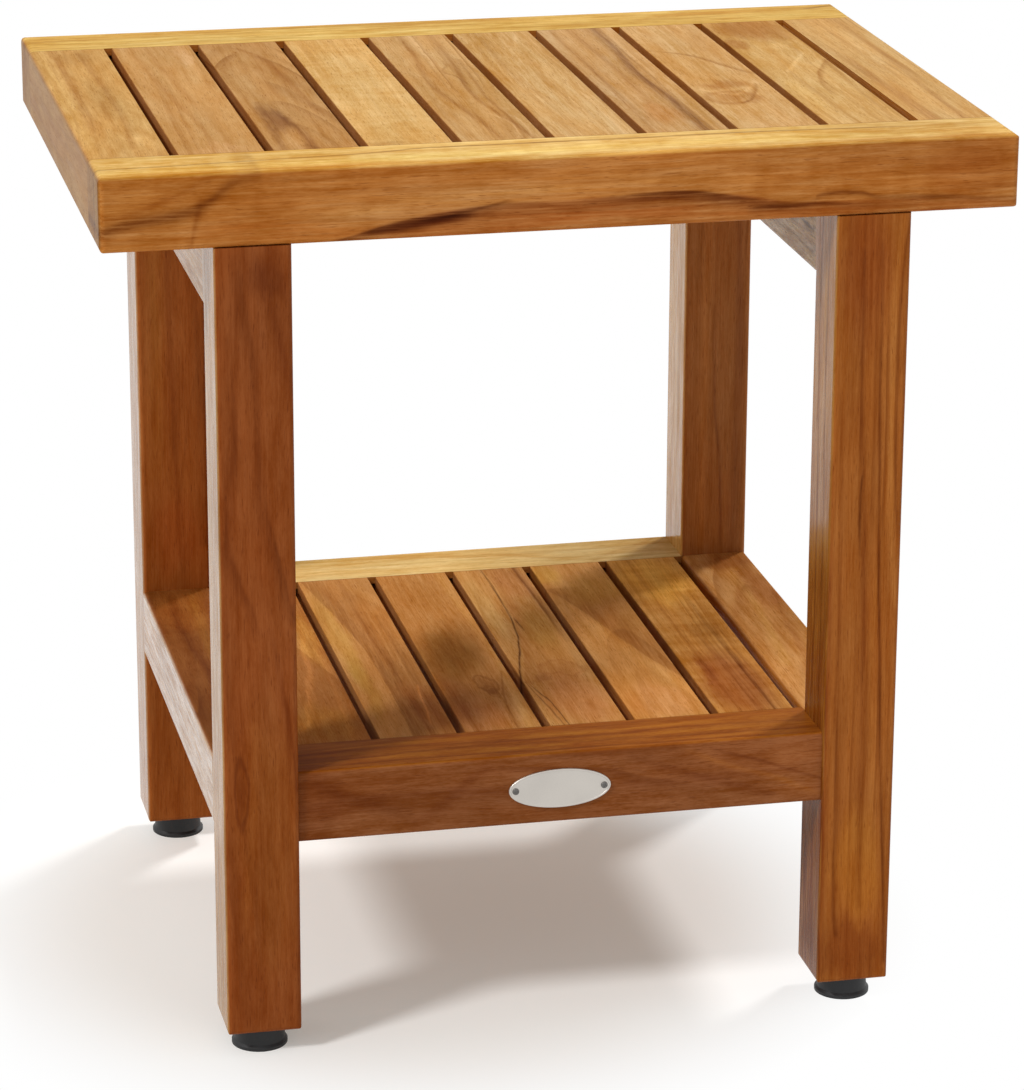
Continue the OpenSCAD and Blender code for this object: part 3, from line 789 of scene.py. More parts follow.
        "seed": 8.3, "top": (0.583, 0.334, 0.112), "seam": (0.0, 125.0), "pith": (-0.10, 0.02),
        "rings": 0.3, "wander": 0.012, "fibre": 1.1,
        "lines": (
            stripe(0.9, 1.6, pale, (60, 2, 0.0), (85, 5, 0.8), (100, 8, 0.9), (118, 12, 0.3)),
            stripe(3.0, 4.0, (1.10, 1.12, 1.2), (-125, 16, 0.8), (-70, 16, 0.8), (-20, 15, 0.4),
                (30, 14, 0.0)),
            stripe(1.2, 2.0, (0.78, 0.70, 0.60), (-125, -6, 0.3), (-40, -8, 0.5), (40, -10, 0.5),
                (125, -6, 0.3)),
        ),
    },
    "seat_slat_6": {
        "seed": 9.1, "top": (0.560, 0.321, 0.120), "seam": (0.0, 125.0), "pith": (0.08, 0.0),
        "rings": 0.35,
        "lines": (
            stripe(3.8, 1.9, (0.47, 0.37, 0.36), (-125, 10, 0.9), (-75, 10, 1.0), (-35, 9, 1.0),
                (5, 7.6, 1.0), (30, 8.2, 1.0), (60, 10, 0.9), (125, 11, 0.8), ragged=1.6),
            stripe(0.8, 0.8, plum, (-125, 13, 0.6), (-40, 12.5, 0.5), (40, 12.5, 0.5), (125, 13.5, 0.6)),
            stripe(3.4, 3.0, (1.14, 1.18, 1.25), (-125, 17.5, 0.9), (0, 17, 0.9), (125, 17.5, 0.9)),
            stripe(1.4, 1.4, brown, (-125, -17, 0.5), (0, -15, 0.6), (125, -14, 0.5)),
            stripe(1.4, 2.4, brown, (-60, -4, 0.3), (20, -2, 0.6), (125, -5, 0.4)),
        ),
        "spots": (
            patch((-2, -85), (12, 30), (0.94, 0.80, 0.66)),
        ),
    },
    "seat_slat_7": {
        "seed": 10.6, "top": (0.603, 0.341, 0.117), "seam": (0.0, 125.0), "pith": (0.0, 0.028),
        "lean": -0.07, "ring": 0.006, "rings": 0.35, "fibre": 1.0,
        "lines": (
            stripe(1.0, 2.6, brown, (-4, 19, 0.2), (6, 14.5, 0.8), (22, 8, 0.9), (40, 1, 0.9),
                (50, -6, 0.8), (60, -20, 0.4)),
            stripe(2.0, 0.9, brown, (-69, -3, 0.8), (-64, 2, 0.9), (-55, 6, 0.9), (-41, 11, 0.8),
                (-28, 14.5, 0.4)),
            stripe(2.0, 2.0, (1.16, 1.22, 1.36), (-50, -2, 1.0), (-44, 4, 1.0), (-32, 11, 0.9),
                (-22, 15, 0.4)),
            stripe(2.0, 2.0, (1.16, 1.22, 1.36), (-50, -3, 1.0), (-45, -9, 1.0), (-36, -16.5, 0.8)),
        ),
        "spots": (
            patch((-2, -26), (18, 12), (0.76, 0.63, 0.50)),
            patch((-6, -57), (13, 14), (0.76, 0.63, 0.52), inside=0.7, outline=0.7, steady=0.4),
        ),
    },
    "seat_slat_8": {
        "seed": 11.8, "top": (0.609, 0.353, 0.112), "seam": (0.0, 125.0), "pith": (-0.07, 0.03),
        "rings": 0.35, "wander": 0.02,
        "lines": (
            stripe(1.2, 2.0, (1.20, 1.28, 1.45), (-4, -9, 0.3), (2, -6, 1.0), (15, 0.5, 1.0),
                (30, 7.8, 1.0), (40, 12, 0.3)),
            stripe(1.0, 2.4, brown, (-60, 0, 0.2), (-29, 2.5, 0.8), (-11, 6.4, 0.9), (5, 13, 0.8),
                (20, 20, 0.6)),
            stripe(1.4, 1.4, brown, (-125, 14, 0.4), (-60, 16, 0.5), (20, 19, 0.4)),
        ),
        "spots": (
            patch((2, 104), (26, 36), (0.74, 0.60, 0.50), inside=1.0),
            patch((-15, 66), (7, 16), (0.76, 0.62, 0.52)),
            patch((4, 58), (8, 12), (1.12, 1.14, 1.2)),
            patch((-14, -60), (8, 50), (1.06, 1.04, 0.95)),
        ),
    },
    "seat_right_end_board": {
        "seed": 12.5, "middle": (0.44, 0.17, 0.035), "top": (0.587, 0.331, 0.101), "seam": (0.0, 125.0),
        "pith": (-0.05, 0.02), "rings": 0.5,
        "lines": (
            stripe(3.4, 3.4, (0.72, 0.60, 0.52), (-125, -12, 0.9), (-80, -12.5, 0.7), (-20, -14, 0.4),
                (40, -15, 0.0)),
            stripe(1.0, 2.2, brown, (-125, 4, 0.6), (-60, 5, 0.7), (0, 7, 0.5), (125, 8, 0.5)),
            stripe(3.0, 3.0, pale, (-125, 0, 0.3), (0, 1, 0.6), (125, -1, 0.6)),
        ),
    },
    "seat_left_bearer": {"seed": 13.1, "middle": (0.42, 0.16, 0.03)},
    "seat_right_bearer": {"seed": 14.4, "middle": (0.42, 0.16, 0.03)},
}

# legs and side rails; each side colour is painted paler on the faces that look left, as a painted reflection
# of the bright surround

sideBoards = {
    "leg_front_left": {
        "grain": "Z", "seed": 21.2, "middle": (0.270, 0.067, 0.0120), "pith": (0.02, 0.06), "lean": 0.03,
        "sway": -0.10, "ring": 0.007, "rings": 0.35, "fibre": 1.0, "mottle": 1.5, "patch": 1.0,
        "side": (0.389, 0.193, 0.048), "coat": 0.42,
        "lines": (
            stripe(4.4, 1.6, (0.62, 0.54, 0.46), (14, 19, 0.5), (30, 14, 0.9), (52, 8.5, 0.9),
                (80, 3.5, 0.7), (128, 1, 0.7), (155, -1, 0.6), (178, -5, 0.5), (200, -9, 0.3), ragged=4.0),
            stripe(4.0, 1.4, (0.66, 0.56, 0.46), (8, 0, 0.2), (18, -2, 0.7), (42, -11, 0.9), (72, -15, 0.7),
                (112, -11, 0.6), (160, -13, 0.3), ragged=4.0),
            stripe(0.8, 1.0, brown, (94, -10.5, 0.3), (102, -10, 0.6), (116, -10, 0.6), (124, -10, 0.2)),
            stripe(2.0, 1.2, (0.66, 0.54, 0.44), (-74, 18, 0.8), (-52, 15.5, 0.9), (-24, 12, 0.8),
                (-4, 9, 0.5), (10, 6, 0.2), ragged=4.0),
            stripe(3.0, 2.4, (0.72, 0.60, 0.52), (130, 18, 0.4), (152, 14, 0.7), (176, 8, 0.6),
                (200, 3, 0.4), ragged=4.0),
            stripe(3.0, 2.0, (1.12, 1.22, 1.2), (-190, -10, 0.3), (-130, -8, 0.6), (-90, -4, 0.5),
                (-40, -3, 0.3), ragged=4.0),
        ),
        "spots": (
            patch((-10.0, -74.0), (3.2, 17.0), (0.60, 0.48, 0.42), inside=0.35, outline=0.7, steady=0.35),
            patch((8, 192), (13, 17), (0.66, 0.56, 0.54), inside=0.7),
            patch((0, 176), (24, 42), (0.88, 0.90, 0.98)),
            patch((4, -100), (24, 90), (1.08, 1.20, 1.05), inside=0.8),
        ),
    },
    "leg_front_right": {
        "grain": "Z", "seed": 22.8, "middle": (0.345, 0.104, 0.0157), "pith": (0.07, 0.0), "lean": 0.0,
        "ring": 0.006, "rings": 0.6, "wander": 0.006, "fibre": 1.2, "mottle": 0.8,
        "side": (0.391, 0.169, 0.021), "coat": 0.385,
        "lines": (
            stripe(0.9, 1.6, (0.50, 0.42, 0.34), (-60, -6, 0.4), (20, -8, 0.8), (110, -5, 0.9),
                (205, -7, 0.7), across=1, ragged=4.0),
            stripe(1.4, 1.0, (0.56, 0.46, 0.38), (-60, 6, 0.6), (40, 4, 0.8), (120, 8, 0.8), (205, 6, 0.8),
                across=1, ragged=5.0),
            stripe(1.4, 1.8, (1.2, 1.35, 1.5), (0, -1, 0.3), (70, 1, 0.9), (160, -1, 0.8), (205, 0, 0.6),
                across=1, ragged=4.0),
            # painted shade: the left face darkens towards the bottom, where the shelf and rails cut off the
            # bright surround it reflects
            stripe(3.0, 2.4, (0.42, 0.22, 0.14), (-206, -19.5, 1.0), (-30, -19.5, 1.0), (40, -19.5, 0.6),
                (110, -19.5, 0.0), ragged=0.0),
            stripe(0.8, 1.0, (0.42, 0.29, 0.20), (-195, 16.5, 0.7), (-153, 15, 0.8), (-75, 11, 0.8),
                (-19, 9, 1.0), (31, 7, 1.0), (60, 6.3, 0.7), (81, 6, 0.8), (130, 5, 0.7), (150, 5, 0.5),
                (190, 4, 0.3), ragged=1.2),
            stripe(1.6, 1.6, (1.24, 1.42, 1.6), (2, 16.5, 0.5), (34, 14, 0.8), (96, 12, 0.9),
                (150, 11, 0.9), (187, 13, 0.8), (203, 15, 0.6), ragged=1.2),
            stripe(0.7, 1.0, (0.52, 0.40, 0.30), (40, 16.5, 0.3), (80, 14.2, 0.7), (130, 13.6, 0.8),
                (170, 14.8, 0.7), (200, 18, 0.5), ragged=1.2),
            stripe(2.4, 1.6, (0.60, 0.46, 0.34), (-163, 3, 0.6), (-107, 1, 0.7), (-44, 1, 0.9),
                (18, 0, 0.9), (65, -2, 0.7), (112, -4, 0.7), (187, -5, 0.5)),
            stripe(1.0, 1.6, (0.56, 0.43, 0.32), (-178, -10, 0.8), (-140, -12, 0.8), (-107, -12, 0.6),
                (-60, -13, 0.6), (18, -13, 0.5), (112, -15, 0.3), ragged=1.6),
            stripe(0.7, 0.8, darkBrown, (30, -3, 0.3), (60, -3.6, 0.9), (72, -2.6, 0.3), ragged=1.0),
            stripe(1.6, 1.6, (1.14, 1.24, 1.3), (-195, 13, 0.3), (-100, 8, 0.7), (-20, 5, 0.7),
                (60, 10, 0.5), (120, 9, 0.3)),
        ),
        "spots": (
            patch((-4, 178), (18, 52), (0.84, 0.74, 0.82)),
            patch((-2, -188), (26, 22), (0.74, 0.62, 0.56)),
            patch((0, -140), (17, 40), (1.15, 1.24, 0.98)),
        ),
    },
    "leg_back_left": {
        "grain": "Z", "seed": 23.5, "middle": (0.302, 0.082, 0.0135), "pith": (0.03, 0.07), "rings": 0.3,
        "fibre": 1.0, "mottle": 1.2, "patch": 1.1, "side": (0.36, 0.17, 0.052), "coat": 0.48,
        "lines": (
            stripe(4.0, 5.0, (0.72, 0.66, 0.60), (-40, 16, 0.6), (60, 15, 0.8), (140, 13, 0.7),
                (200, 12, 0.5), ragged=4.0),
            stripe(1.2, 2.4, (0.70, 0.58, 0.48), (-60, 2, 0.3), (0, 1, 0.7), (70, -1, 0.7), (150, -2, 0.5),
                ragged=3.0),
            stripe(4.0, 4.0, (1.06, 1.20, 1.05), (0, -10, 0.5), (90, -9, 0.8), (190, -10, 0.6), ragged=4.0),
        ),
        "spots": (
            patch((0, -35), (20, 30), (1.0, 0.88, 0.86)),
        ),
    },
    "leg_back_right": {
        "grain": "Z", "seed": 24.9, "middle": (0.340, 0.116, 0.025), "pith": (0.06, 0.03), "rings": 0.4,
        "fibre": 1.1, "mottle": 0.8, "side": (0.678, 0.359, 0.082), "coat": 0.62,
        "lines": (
            stripe(3.0, 4.0, (0.66, 0.58, 0.62), (-70, 10, 0.4), (0, 12, 0.8), (60, 13, 0.8),
                (130, 12, 0.7), (205, 13, 0.6)),
            stripe(1.0, 1.2, (0.60, 0.50, 0.50), (-60, 4, 0.5), (-20, 3, 0.8), (30, -1, 0.6),
                (80, -2, 0.3)),
            stripe(3.0, 3.0, (1.22, 1.18, 1.0), (-60, -8, 0.7), (40, -7, 0.8), (120, -6, 0.6),
                (205, -4, 0.4)),
        ),
    },
    "left_upper_side_rail": {
        "seed": 25.3, "mottle": 1.5, "flecks": 1.4, "middle": (0.34, 0.11, 0.02),
        "side": (0.464, 0.202, 0.0141), "gloss": 0.04, "coat": 0.37,
    },
    "right_upper_side_rail": {
        "seed": 26.6, "patch": 1.4, "mottle": 1.8, "flecks": 2.4, "pores": 1.6, "bump": 0.5,
        "middle": (0.34, 0.11, 0.02), "side": (0.390, 0.211, 0.024), "gloss": 0.04, "coat": 0.37,
        "lines": (
            stripe(1.2, 2.6, (0.42, 0.34, 0.26), (-127, -12, 0.7), (-110, -9, 0.9), (-80, -12, 0.7),
                (-20, -10, 0.5), across=1, ragged=7.0),
            stripe(0.8, 1.4, (0.32, 0.24, 0.17), (-124, -3, 0.4), (-112, -1, 1.0), (-100, -2, 0.8),
                (-84, 1, 0.6), (-60, 0, 0.3), across=1, ragged=8.0),
            stripe(1.4, 1.6, (0.46, 0.38, 0.30), (-127, 7, 0.8), (-108, 10, 0.8), (-90, 9, 0.5),
                (-40, 12, 0.5), across=1, ragged=6.0),
            stripe(1.6, 1.2, (1.25, 1.4, 1.6), (-127, 1.5, 0.6), (-100, 4, 0.9), (-70, 6, 0.5), (0, 5, 0.5),
                across=1, ragged=6.0),
        ),
    },
    "left_lower_side_rail": {
        "seed": 27.4, "middle": (0.34, 0.12, 0.02), "mottle": 1.4, "patch": 1.6, "curl": 0.5,
        "flecks": 1.2, "top": (0.215, 0.064, 0.010), "gloss": 0.04, "side": (0.396, 0.198, 0.061),
        "coat": 0.62,
        "lines": (
            stripe(3.0, 4.0, (1.3, 1.6, 1.5), (-120, 2, 0.4), (-40, 8, 0.8), (40, 4, 0.8), (120, 10, 0.5),
                ragged=6.0),
            stripe(2.0, 4.0, brown, (-120, -6, 0.6), (-30, -2, 0.8), (60, -8, 0.8), (120, -4, 0.5),
                ragged=6.0),
        ),
        "spots": (
            patch((0, 92), (26, 42), (1.24, 1.20, 1.02)),
        ),
    },
    "right_lower_side_rail": {
        "seed": 28.1, "middle": (0.38, 0.13, 0.02), "top": (0.550, 0.249, 0.064), "rings": 0.8,
        "sway": 0.06, "mottle": 1.3, "patch": 1.3, "fibre": 1.1, "gloss": 0.01,
        "lines": (
            stripe(2.0, 6.0, (0.78, 0.66, 0.56), (20, -16, 0.4), (50, -6, 0.8), (90, 6, 0.8),
                (125, 14, 0.5), ragged=4.0),
            stripe(1.6, 3.5, (0.74, 0.60, 0.48), (-110, -4, 0.4), (-50, 4, 0.8), (10, 10, 0.7),
                (60, 16, 0.4), ragged=4.0),
            stripe(4.0, 2.0, (1.10, 1.20, 1.10), (-60, -8, 0.4), (0, -2, 0.8), (60, 2, 0.6), (100, 2, 0.3),
                ragged=4.0),
        ),
        "spots": (
            patch((12, 62), (10, 50), (0.84, 0.70, 0.66)),
            patch((0, 112), (24, 18), (0.72, 0.60, 0.56)),
        ),
    },
}

# shelf boards, left to right

shelfBoards = {
    "shelf_front_rail": {
        "grain": "X", "seed": 31.3, "middle": (0.257, 0.081, 0.021), "top": (0.315, 0.092, 0.0074),
        "pith": (0.03, 0.07), "ring": 0.006, "rings": 0.5, "sway": 0.05, "fibre": 1.3, "mottle": 2.0,
        "flecks": 1.2, "gloss": 0.04,
        "lines": (
            stripe(4.0, 4.0, (0.72, 0.62, 0.50), (-130, -14, 0.3), (-112, -4, 0.8), (-92, 4, 0.8),
                (-78, 12, 0.3), ragged=6.0),
            stripe(3.0, 5.0, (0.78, 0.66, 0.56), (-76, 12, 0.3), (-60, 2, 0.7), (-48, -8, 0.7),
                (-38, -14, 0.3), ragged=6.0),
            stripe(2.0, 3.0, (0.70, 0.56, 0.44), (34, -14, 0.3), (56, -6, 0.7), (78, 2, 0.8),
                (110, 12, 0.5), ragged=4.0),
            stripe(1.4, 2.0, (1.28, 1.34, 1.1), (66, -14, 0.4), (90, -4, 0.8), (112, 4, 0.8),
                (134, 14, 0.5), ragged=4.0),
            stripe(1.0, 1.4, (0.64, 0.50, 0.40), (80, -14, 0.4), (104, -6, 0.8), (120, 0, 0.8),
                (136, 6, 0.5), ragged=3.0),
            stripe(2.0, 5.0, (0.72, 0.60, 0.56), (-136, 2, 0.4), (-60, -2, 0.5), (20, 1, 0.4),
                (136, -4, 0.4), ragged=6.0),
            stripe(1.2, 3.0, (0.56, 0.42, 0.30), (-136, -6, 0.8), (-100, -5, 0.8), (-50, -2, 0.7),
                (20, -6, 0.6), (70, -8, 0.8), (136, -10, 0.6), across=1, ragged=5.0),
            stripe(1.4, 1.4, (0.62, 0.48, 0.36), (-136, 3, 0.7), (-90, 6, 0.8), (-30, 3, 0.7), (30, 2, 0.8),
                (80, 4, 0.7), (136, -2, 0.5), across=1, ragged=4.0),
            stripe(1.0, 1.6, (0.58, 0.44, 0.32), (-136, -14, 0.6), (-60, -12, 0.8), (10, -14, 0.7),
                (80, -15, 0.7), (136, -16, 0.5), across=1, ragged=3.0),
            stripe(2.0, 2.4, (1.24, 1.45, 1.4), (-136, 9, 0.4), (-60, 10, 0.8), (10, 7, 0.8), (80, 9, 0.6),
                (136, 5, 0.5), across=1, ragged=4.0),
            stripe(1.6, 2.0, (1.22, 1.42, 1.3), (-100, -8, 0.4), (-20, -8, 0.8), (50, -2, 0.7),
                (136, -5, 0.4), across=1, ragged=4.0),
        ),
        "spots": (
            patch((0, 126), (22, 26), (1.16, 1.20, 1.2)),
            patch((0, -128), (30, 22), (0.84, 0.76, 0.70)),
        ),
    },
    "shelf_back_rail": {
        "grain": "X", "seed": 32.2, "middle": (0.42, 0.16, 0.03), "top": (0.699, 0.463, 0.152),
        "pith": (-0.04, 0.05), "rings": 0.2, "fibre": 1.0, "mottle": 1.1, "patch": 1.2, "gloss": 0.02,
        "lines": (
            stripe(2.2, 6.0, (0.84, 0.70, 0.50), (-70, 17, 0.1), (-40, 12.5, 0.6), (-10, 9.5, 0.9),
                (15, 5, 0.9), (40, 1.5, 0.9), (62, -7, 0.9), (86, -16, 0.5), across=1, ragged=3.0),
            stripe(3.0, 5.0, (0.90, 0.82, 0.66), (-118, 14, 0.4), (-80, 8, 0.7), (-40, 2, 0.6),
                (0, -3, 0.5), (40, -10, 0.3), across=1, ragged=4.0),
            stripe(5.0, 3.0, (0.80, 0.68, 0.56), (84, -16, 0.3), (100, -4, 0.8), (116, 6, 0.9),
                (128, 16, 0.6), across=1, ragged=4.0),
            stripe(2.0, 4.0, (1.08, 1.1, 1.2), (-118, 2, 0.3), (-60, -2, 0.5), (0, -6, 0.3), across=1),
        ),
        "spots": (
            # painted shadow: greys the right end of the top, where the back right leg's shadow falls
            patch((0, 128), (30, 24), (0.86, 0.84, 0.86), tilt=30),
        ),
    },
    "shelf_slat_1": {
        "seed": 33.9, "top": (0.423, 0.160, 0.035), "seam": (0.0, 125.1), "rings": 0.5, "flecks": 1.1,
        "lines": (
            stripe(1.4, 2.6, (1.45, 1.5, 1.6), (-110, -13, 0.4), (-80, -5, 0.8), (-40, 2, 0.8),
                (10, 9, 0.7), (60, 14, 0.4), ragged=7.0),
            stripe(1.0, 2.0, (1.3, 1.3, 1.3), (-125, 10, 0.4), (-60, 14, 0.5), (40, 16, 0.3), ragged=5.0),
        ),
        "spots": (
            patch((2, -98), (24, 34), (0.96, 1.0, 0.78)),
            patch((14, 30), (9, 60), (1.14, 1.28, 1.0), inside=0.8),
        ),
    },
    "shelf_slat_2": {
        "seed": 34.5, "top": (0.520, 0.233, 0.059), "seam": (0.0, 125.1), "rings": 0.45,
        "lines": (
            stripe(0.7, 16.0, (0.58, 0.48, 0.42), (-126, -2.5, 0.9), (-60, -1.5, 0.9), (0, -2.5, 0.8),
                (40, -6, 0.8), (85, -12, 0.7), (125, -18, 0.6), ragged=1.5),
            stripe(1.0, 2.5, brown, (-125, 7, 0.6), (-60, 6, 0.6), (20, 4, 0.6), (125, 2, 0.4)),
            stripe(1.0, 4.0, brown, (-125, 15, 0.5), (-40, 14, 0.6), (60, 13, 0.4)),
            stripe(0.8, 0.8, (1.6, 1.7, 1.8), (-110, 9, 0.4), (-90, 11, 0.9), (-62, 13, 0.9),
                (-50, 14, 0.0), ragged=5.0),
        ),
        "spots": (
            patch((-14, 30), (8, 100), (1.04, 1.10, 0.82), inside=0.8),
            patch((-13, -50), (7, 60), (0.90, 0.94, 0.72)),
            patch((12, -84), (14, 50), (0.98, 0.86, 0.84)),
        ),
    },
    "shelf_slat_3": {
        "seed": 35.8, "fibre": 1.15, "top": (0.487, 0.213, 0.053), "seam": (0.0, 125.1), "rings": 0.35,
        "lines": (
            stripe(2.6, 5.0, (1.18, 1.30, 1.25), (-126, 14, 0.9), (-60, 17, 0.8), (0, 19, 0.7),
                (60, 17, 0.6), (125, 15, 0.7)),
            stripe(0.7, 0.7, brown, (-122, 7.8, 0.8), (-87, 9.2, 0.9), (-53, 14.6, 0.8), (-40, 17, 0.2)),
            stripe(1.0, 4.0, pale, (-122, 11, 0.8), (-80, 13.5, 0.9), (-55, 18, 0.5)),
            stripe(1.4, 3.0, brown, (-125, -14, 0.7), (-70, -16, 0.6), (-20, -19, 0.3)),
        ),
        "spots": (
            # painted shadow: this dark olive middle and the smaller patch two lines down stand for the back
            # right leg's shadow across this slat
            patch((-4, -8), (24, 62), (0.55, 0.49, 0.32), inside=0.95, tilt=-8),
            patch((-10, -104), (22, 30), (1.08, 0.98, 1.08)),
            patch((-2, -8), (13, 30), (0.84, 0.80, 0.70), inside=0.7),
            patch((-14, -70), (12, 40), (0.82, 0.72, 0.68)),
            patch((5.0, -58.0), (5.0, 11.0), (0.56, 0.44, 0.32), inside=0.5, outline=0.6),
            patch((6.0, -70.0), (3.4, 6.0), (0.60, 0.48, 0.36), inside=0.5, outline=0.4),
            patch((-4, 100), (18, 34), (0.94, 0.92, 0.85)),
        ),
    },
    "shelf_slat_4": {
        "seed": 36.1, "fibre": 1.15, "top": (0.539, 0.254, 0.064), "seam": (0.0, 125.1), "rings": 0.45,
        "lines": (
            stripe(0.55, 0.7, (0.22, 0.15, 0.14), (-60, -21, 0.8), (-42, -18, 1.0), (-20, -13.5, 1.0),
                (0, -9.5, 1.0), (20, -6.5, 1.0), (60, -4, 0.9), (125, -4.2, 0.7)),
            stripe(0.5, 9.0, (0.80, 0.68, 0.60), (-60, -19, 0.5), (0, -8, 0.8), (60, -2, 0.8),
                (125, -2.5, 0.8)),
            stripe(0.5, 0.5, (0.28, 0.20, 0.18), (-125, -10, 0.9), (-95, -12, 0.9), (-75, -15, 0.7),
                (-60, -18, 0.2), ragged=3.0),
            stripe(0.5, 0.5, (0.36, 0.26, 0.22), (-125, -13, 0.8), (-90, -16, 0.9), (-60, -19, 0.4),
                ragged=3.0),
            stripe(0.8, 2.4, darkBrown, (0, 17, 0.2), (50, 16, 0.8), (125, 14, 0.8)),
            stripe(0.6, 0.6, (0.3, 0.2, 0.2), (22, -2, 0.6), (30, -2.5, 1.0), (40, -3, 0.4)),
        ),
        "spots": (
            patch((4, -90), (24, 50), (0.90, 0.77, 0.82)),
            patch((10, 100), (14, 32), (0.93, 0.84, 0.90)),
            patch((-14, 60), (8, 70), (0.98, 1.06, 1.06), inside=0.8),
            patch((-9, -56), (8, 8), (0.74, 0.62, 0.60), inside=0.7),
            patch((4, -42), (12, 12), (0.84, 0.72, 0.66), inside=0.5, outline=0.6),
            patch((12, -48), (6, 9), (1.14, 1.16, 1.25), inside=0.7),
            patch((6, 20), (14, 44), (0.86, 0.90, 0.72)),
        ),
    },
    "shelf_slat_5": {
        "seed": 37.6, "top": (0.583, 0.271, 0.068), "seam": (0.0, 125.1), "rings": 0.4,
        "lines": (
            stripe(0.9, 18.0, (0.72, 0.62, 0.54), (-110, 24, 0.4), (-67, 19.6, 0.8), (-40, 11.4, 0.9),
                (-12, 4.6, 0.9), (28, -3.6, 1.0), (55, -10, 1.0), (83, -19.5, 0.8), ragged=3.0),
            stripe(7.0, 2.5, (1.14, 1.18, 1.20), (-110, 18, 0.3), (-67, 14, 0.6), (-40, 7, 0.9),
                (-12, 1, 1.0), (28, -7, 1.0), (55, -14, 0.8), ragged=3.0),
        ),
        "spots": (
            patch((6, 76), (22, 36), (0.96, 0.96, 0.68), inside=0.95, tilt=-25),
            patch((-14, 108), (10, 24), (1.04, 1.12, 0.82)),
            patch((0, -100), (24, 32), (1.04, 1.0, 1.14)),
            patch((14, 20), (12, 40), (0.84, 0.82, 0.72), inside=0.8, tilt=-20),
        ),
    },
    "shelf_slat_6": {
        "seed": 38.3, "fibre": 1.15, "top": (0.561, 0.257, 0.054), "seam": (0.0, 125.1),
        "pith": (0.09, 0.01), "ring": 0.004, "rings": 0.5, "curl": 1.1,
        "lines": (
            stripe(1.0, 1.6, darkBrown, (-125, 10, 0.9), (-60, 9.5, 0.9), (10, 9, 0.6), (60, 9, 0.2)),
            stripe(0.8, 2.0, brown, (-125, 2, 0.7), (-50, 1, 0.8), (0, -1, 0.4)),
            stripe(0.8, 2.0, brown, (-125, 14, 0.5), (-20, 13.5, 0.6), (60, 13, 0.3)),
            stripe(1.0, 1.6, brown, (-125, -8, 0.3), (0, -9, 0.6), (125, -8, 0.6)),
        ),
        "spots": (
            patch((0, -82), (26, 72), (0.64, 0.48, 0.50), inside=1.0),
            patch((-10, -60), (5, 30), (0.78, 0.66, 0.64)),
            patch((6, 0), (14, 18), (0.80, 0.72, 0.60)),
            # painted light over golden grain: lightens the slat's back half, where the back right leg's
            # shadow falls
            patch((-2, 88), (26, 54), (1.32, 1.38, 0.95)),
        ),
    },
}

for board, look in {**seatBoards, **sideBoards, **shelfBoards}.items():
    nodes[board].data.materials[0] = teakMaterial(board, look)
print("teak boards:", len(seatBoards) + len(sideBoards) + len(shelfBoards))


# metals and the black feet

finishLooks = {
    "stainless": {
        "name": "stainless_steel", "colour": (0.62, 0.61, 0.59), "rough": 0.30, "metallic": 1.0,
        "grain": (0.0002, 0.0002, 0.003), "contrast": 0.5, "bump": 0.2,
    },
    "screw": {
        "name": "plate_screw_steel", "colour": (0.17, 0.16, 0.15), "rough": 0.36, "metallic": 1.0,
        "grain": (0.0003, 0.0003, 0.0003), "contrast": 0.7, "bump": 0.2,
    },
    "brass": {
        "name": "brass", "colour": (0.72, 0.52, 0.24), "rough": 0.32, "metallic": 1.0,
        "grain": (0.0008, 0.0008, 0.0008), "contrast": 0.6, "bump": 0.2,
    },
    "zinc": {
        "name": "zinc_plate", "colour": (0.60, 0.62, 0.64), "rough": 0.38, "metallic": 1.0,
        "grain": (0.0010, 0.0010, 0.0010), "contrast": 0.9, "bump": 0.2,
    },
    "black": {
        "name": "black_moulded", "colour": (0.004, 0.004, 0.005), "rough": 0.52, "metallic": 0.0,
        "grain": (0.0004, 0.0004, 0.0004), "contrast": 0.8, "bump": 0.3, "dust": 0.04,
    },
    "plate": {
        "name": "plate_metal", "colour": (0.60, 0.56, 0.51), "rough": 0.42, "metallic": 1.0,
        "grain": (0.0005, 0.0005, 0.0005), "contrast": 0.5, "bump": 0.3,
    },
}

# what these finishes share: noises as for the teak, and how far tone and roughness swing
finishSwing = {
    "speckDetail": (3.0, 0.6),
    "cloudNoise": ((0.02, 0.02, 0.02), 2.0),
    "darkest": 0.78,
    "lightest": 1.22,
    "scuffNoise": ((0.004, 0.004, 0.004), 4.0, 0.7),
    "scuffFrom": (0.55, 0.75),
    "dustColour": (0.16, 0.15, 0.14),
    "speckRange": (0.2, 0.8),
    "smoother": 0.08,
    "rougher": 0.10,
    "bumpDepth": 0.0001,
}


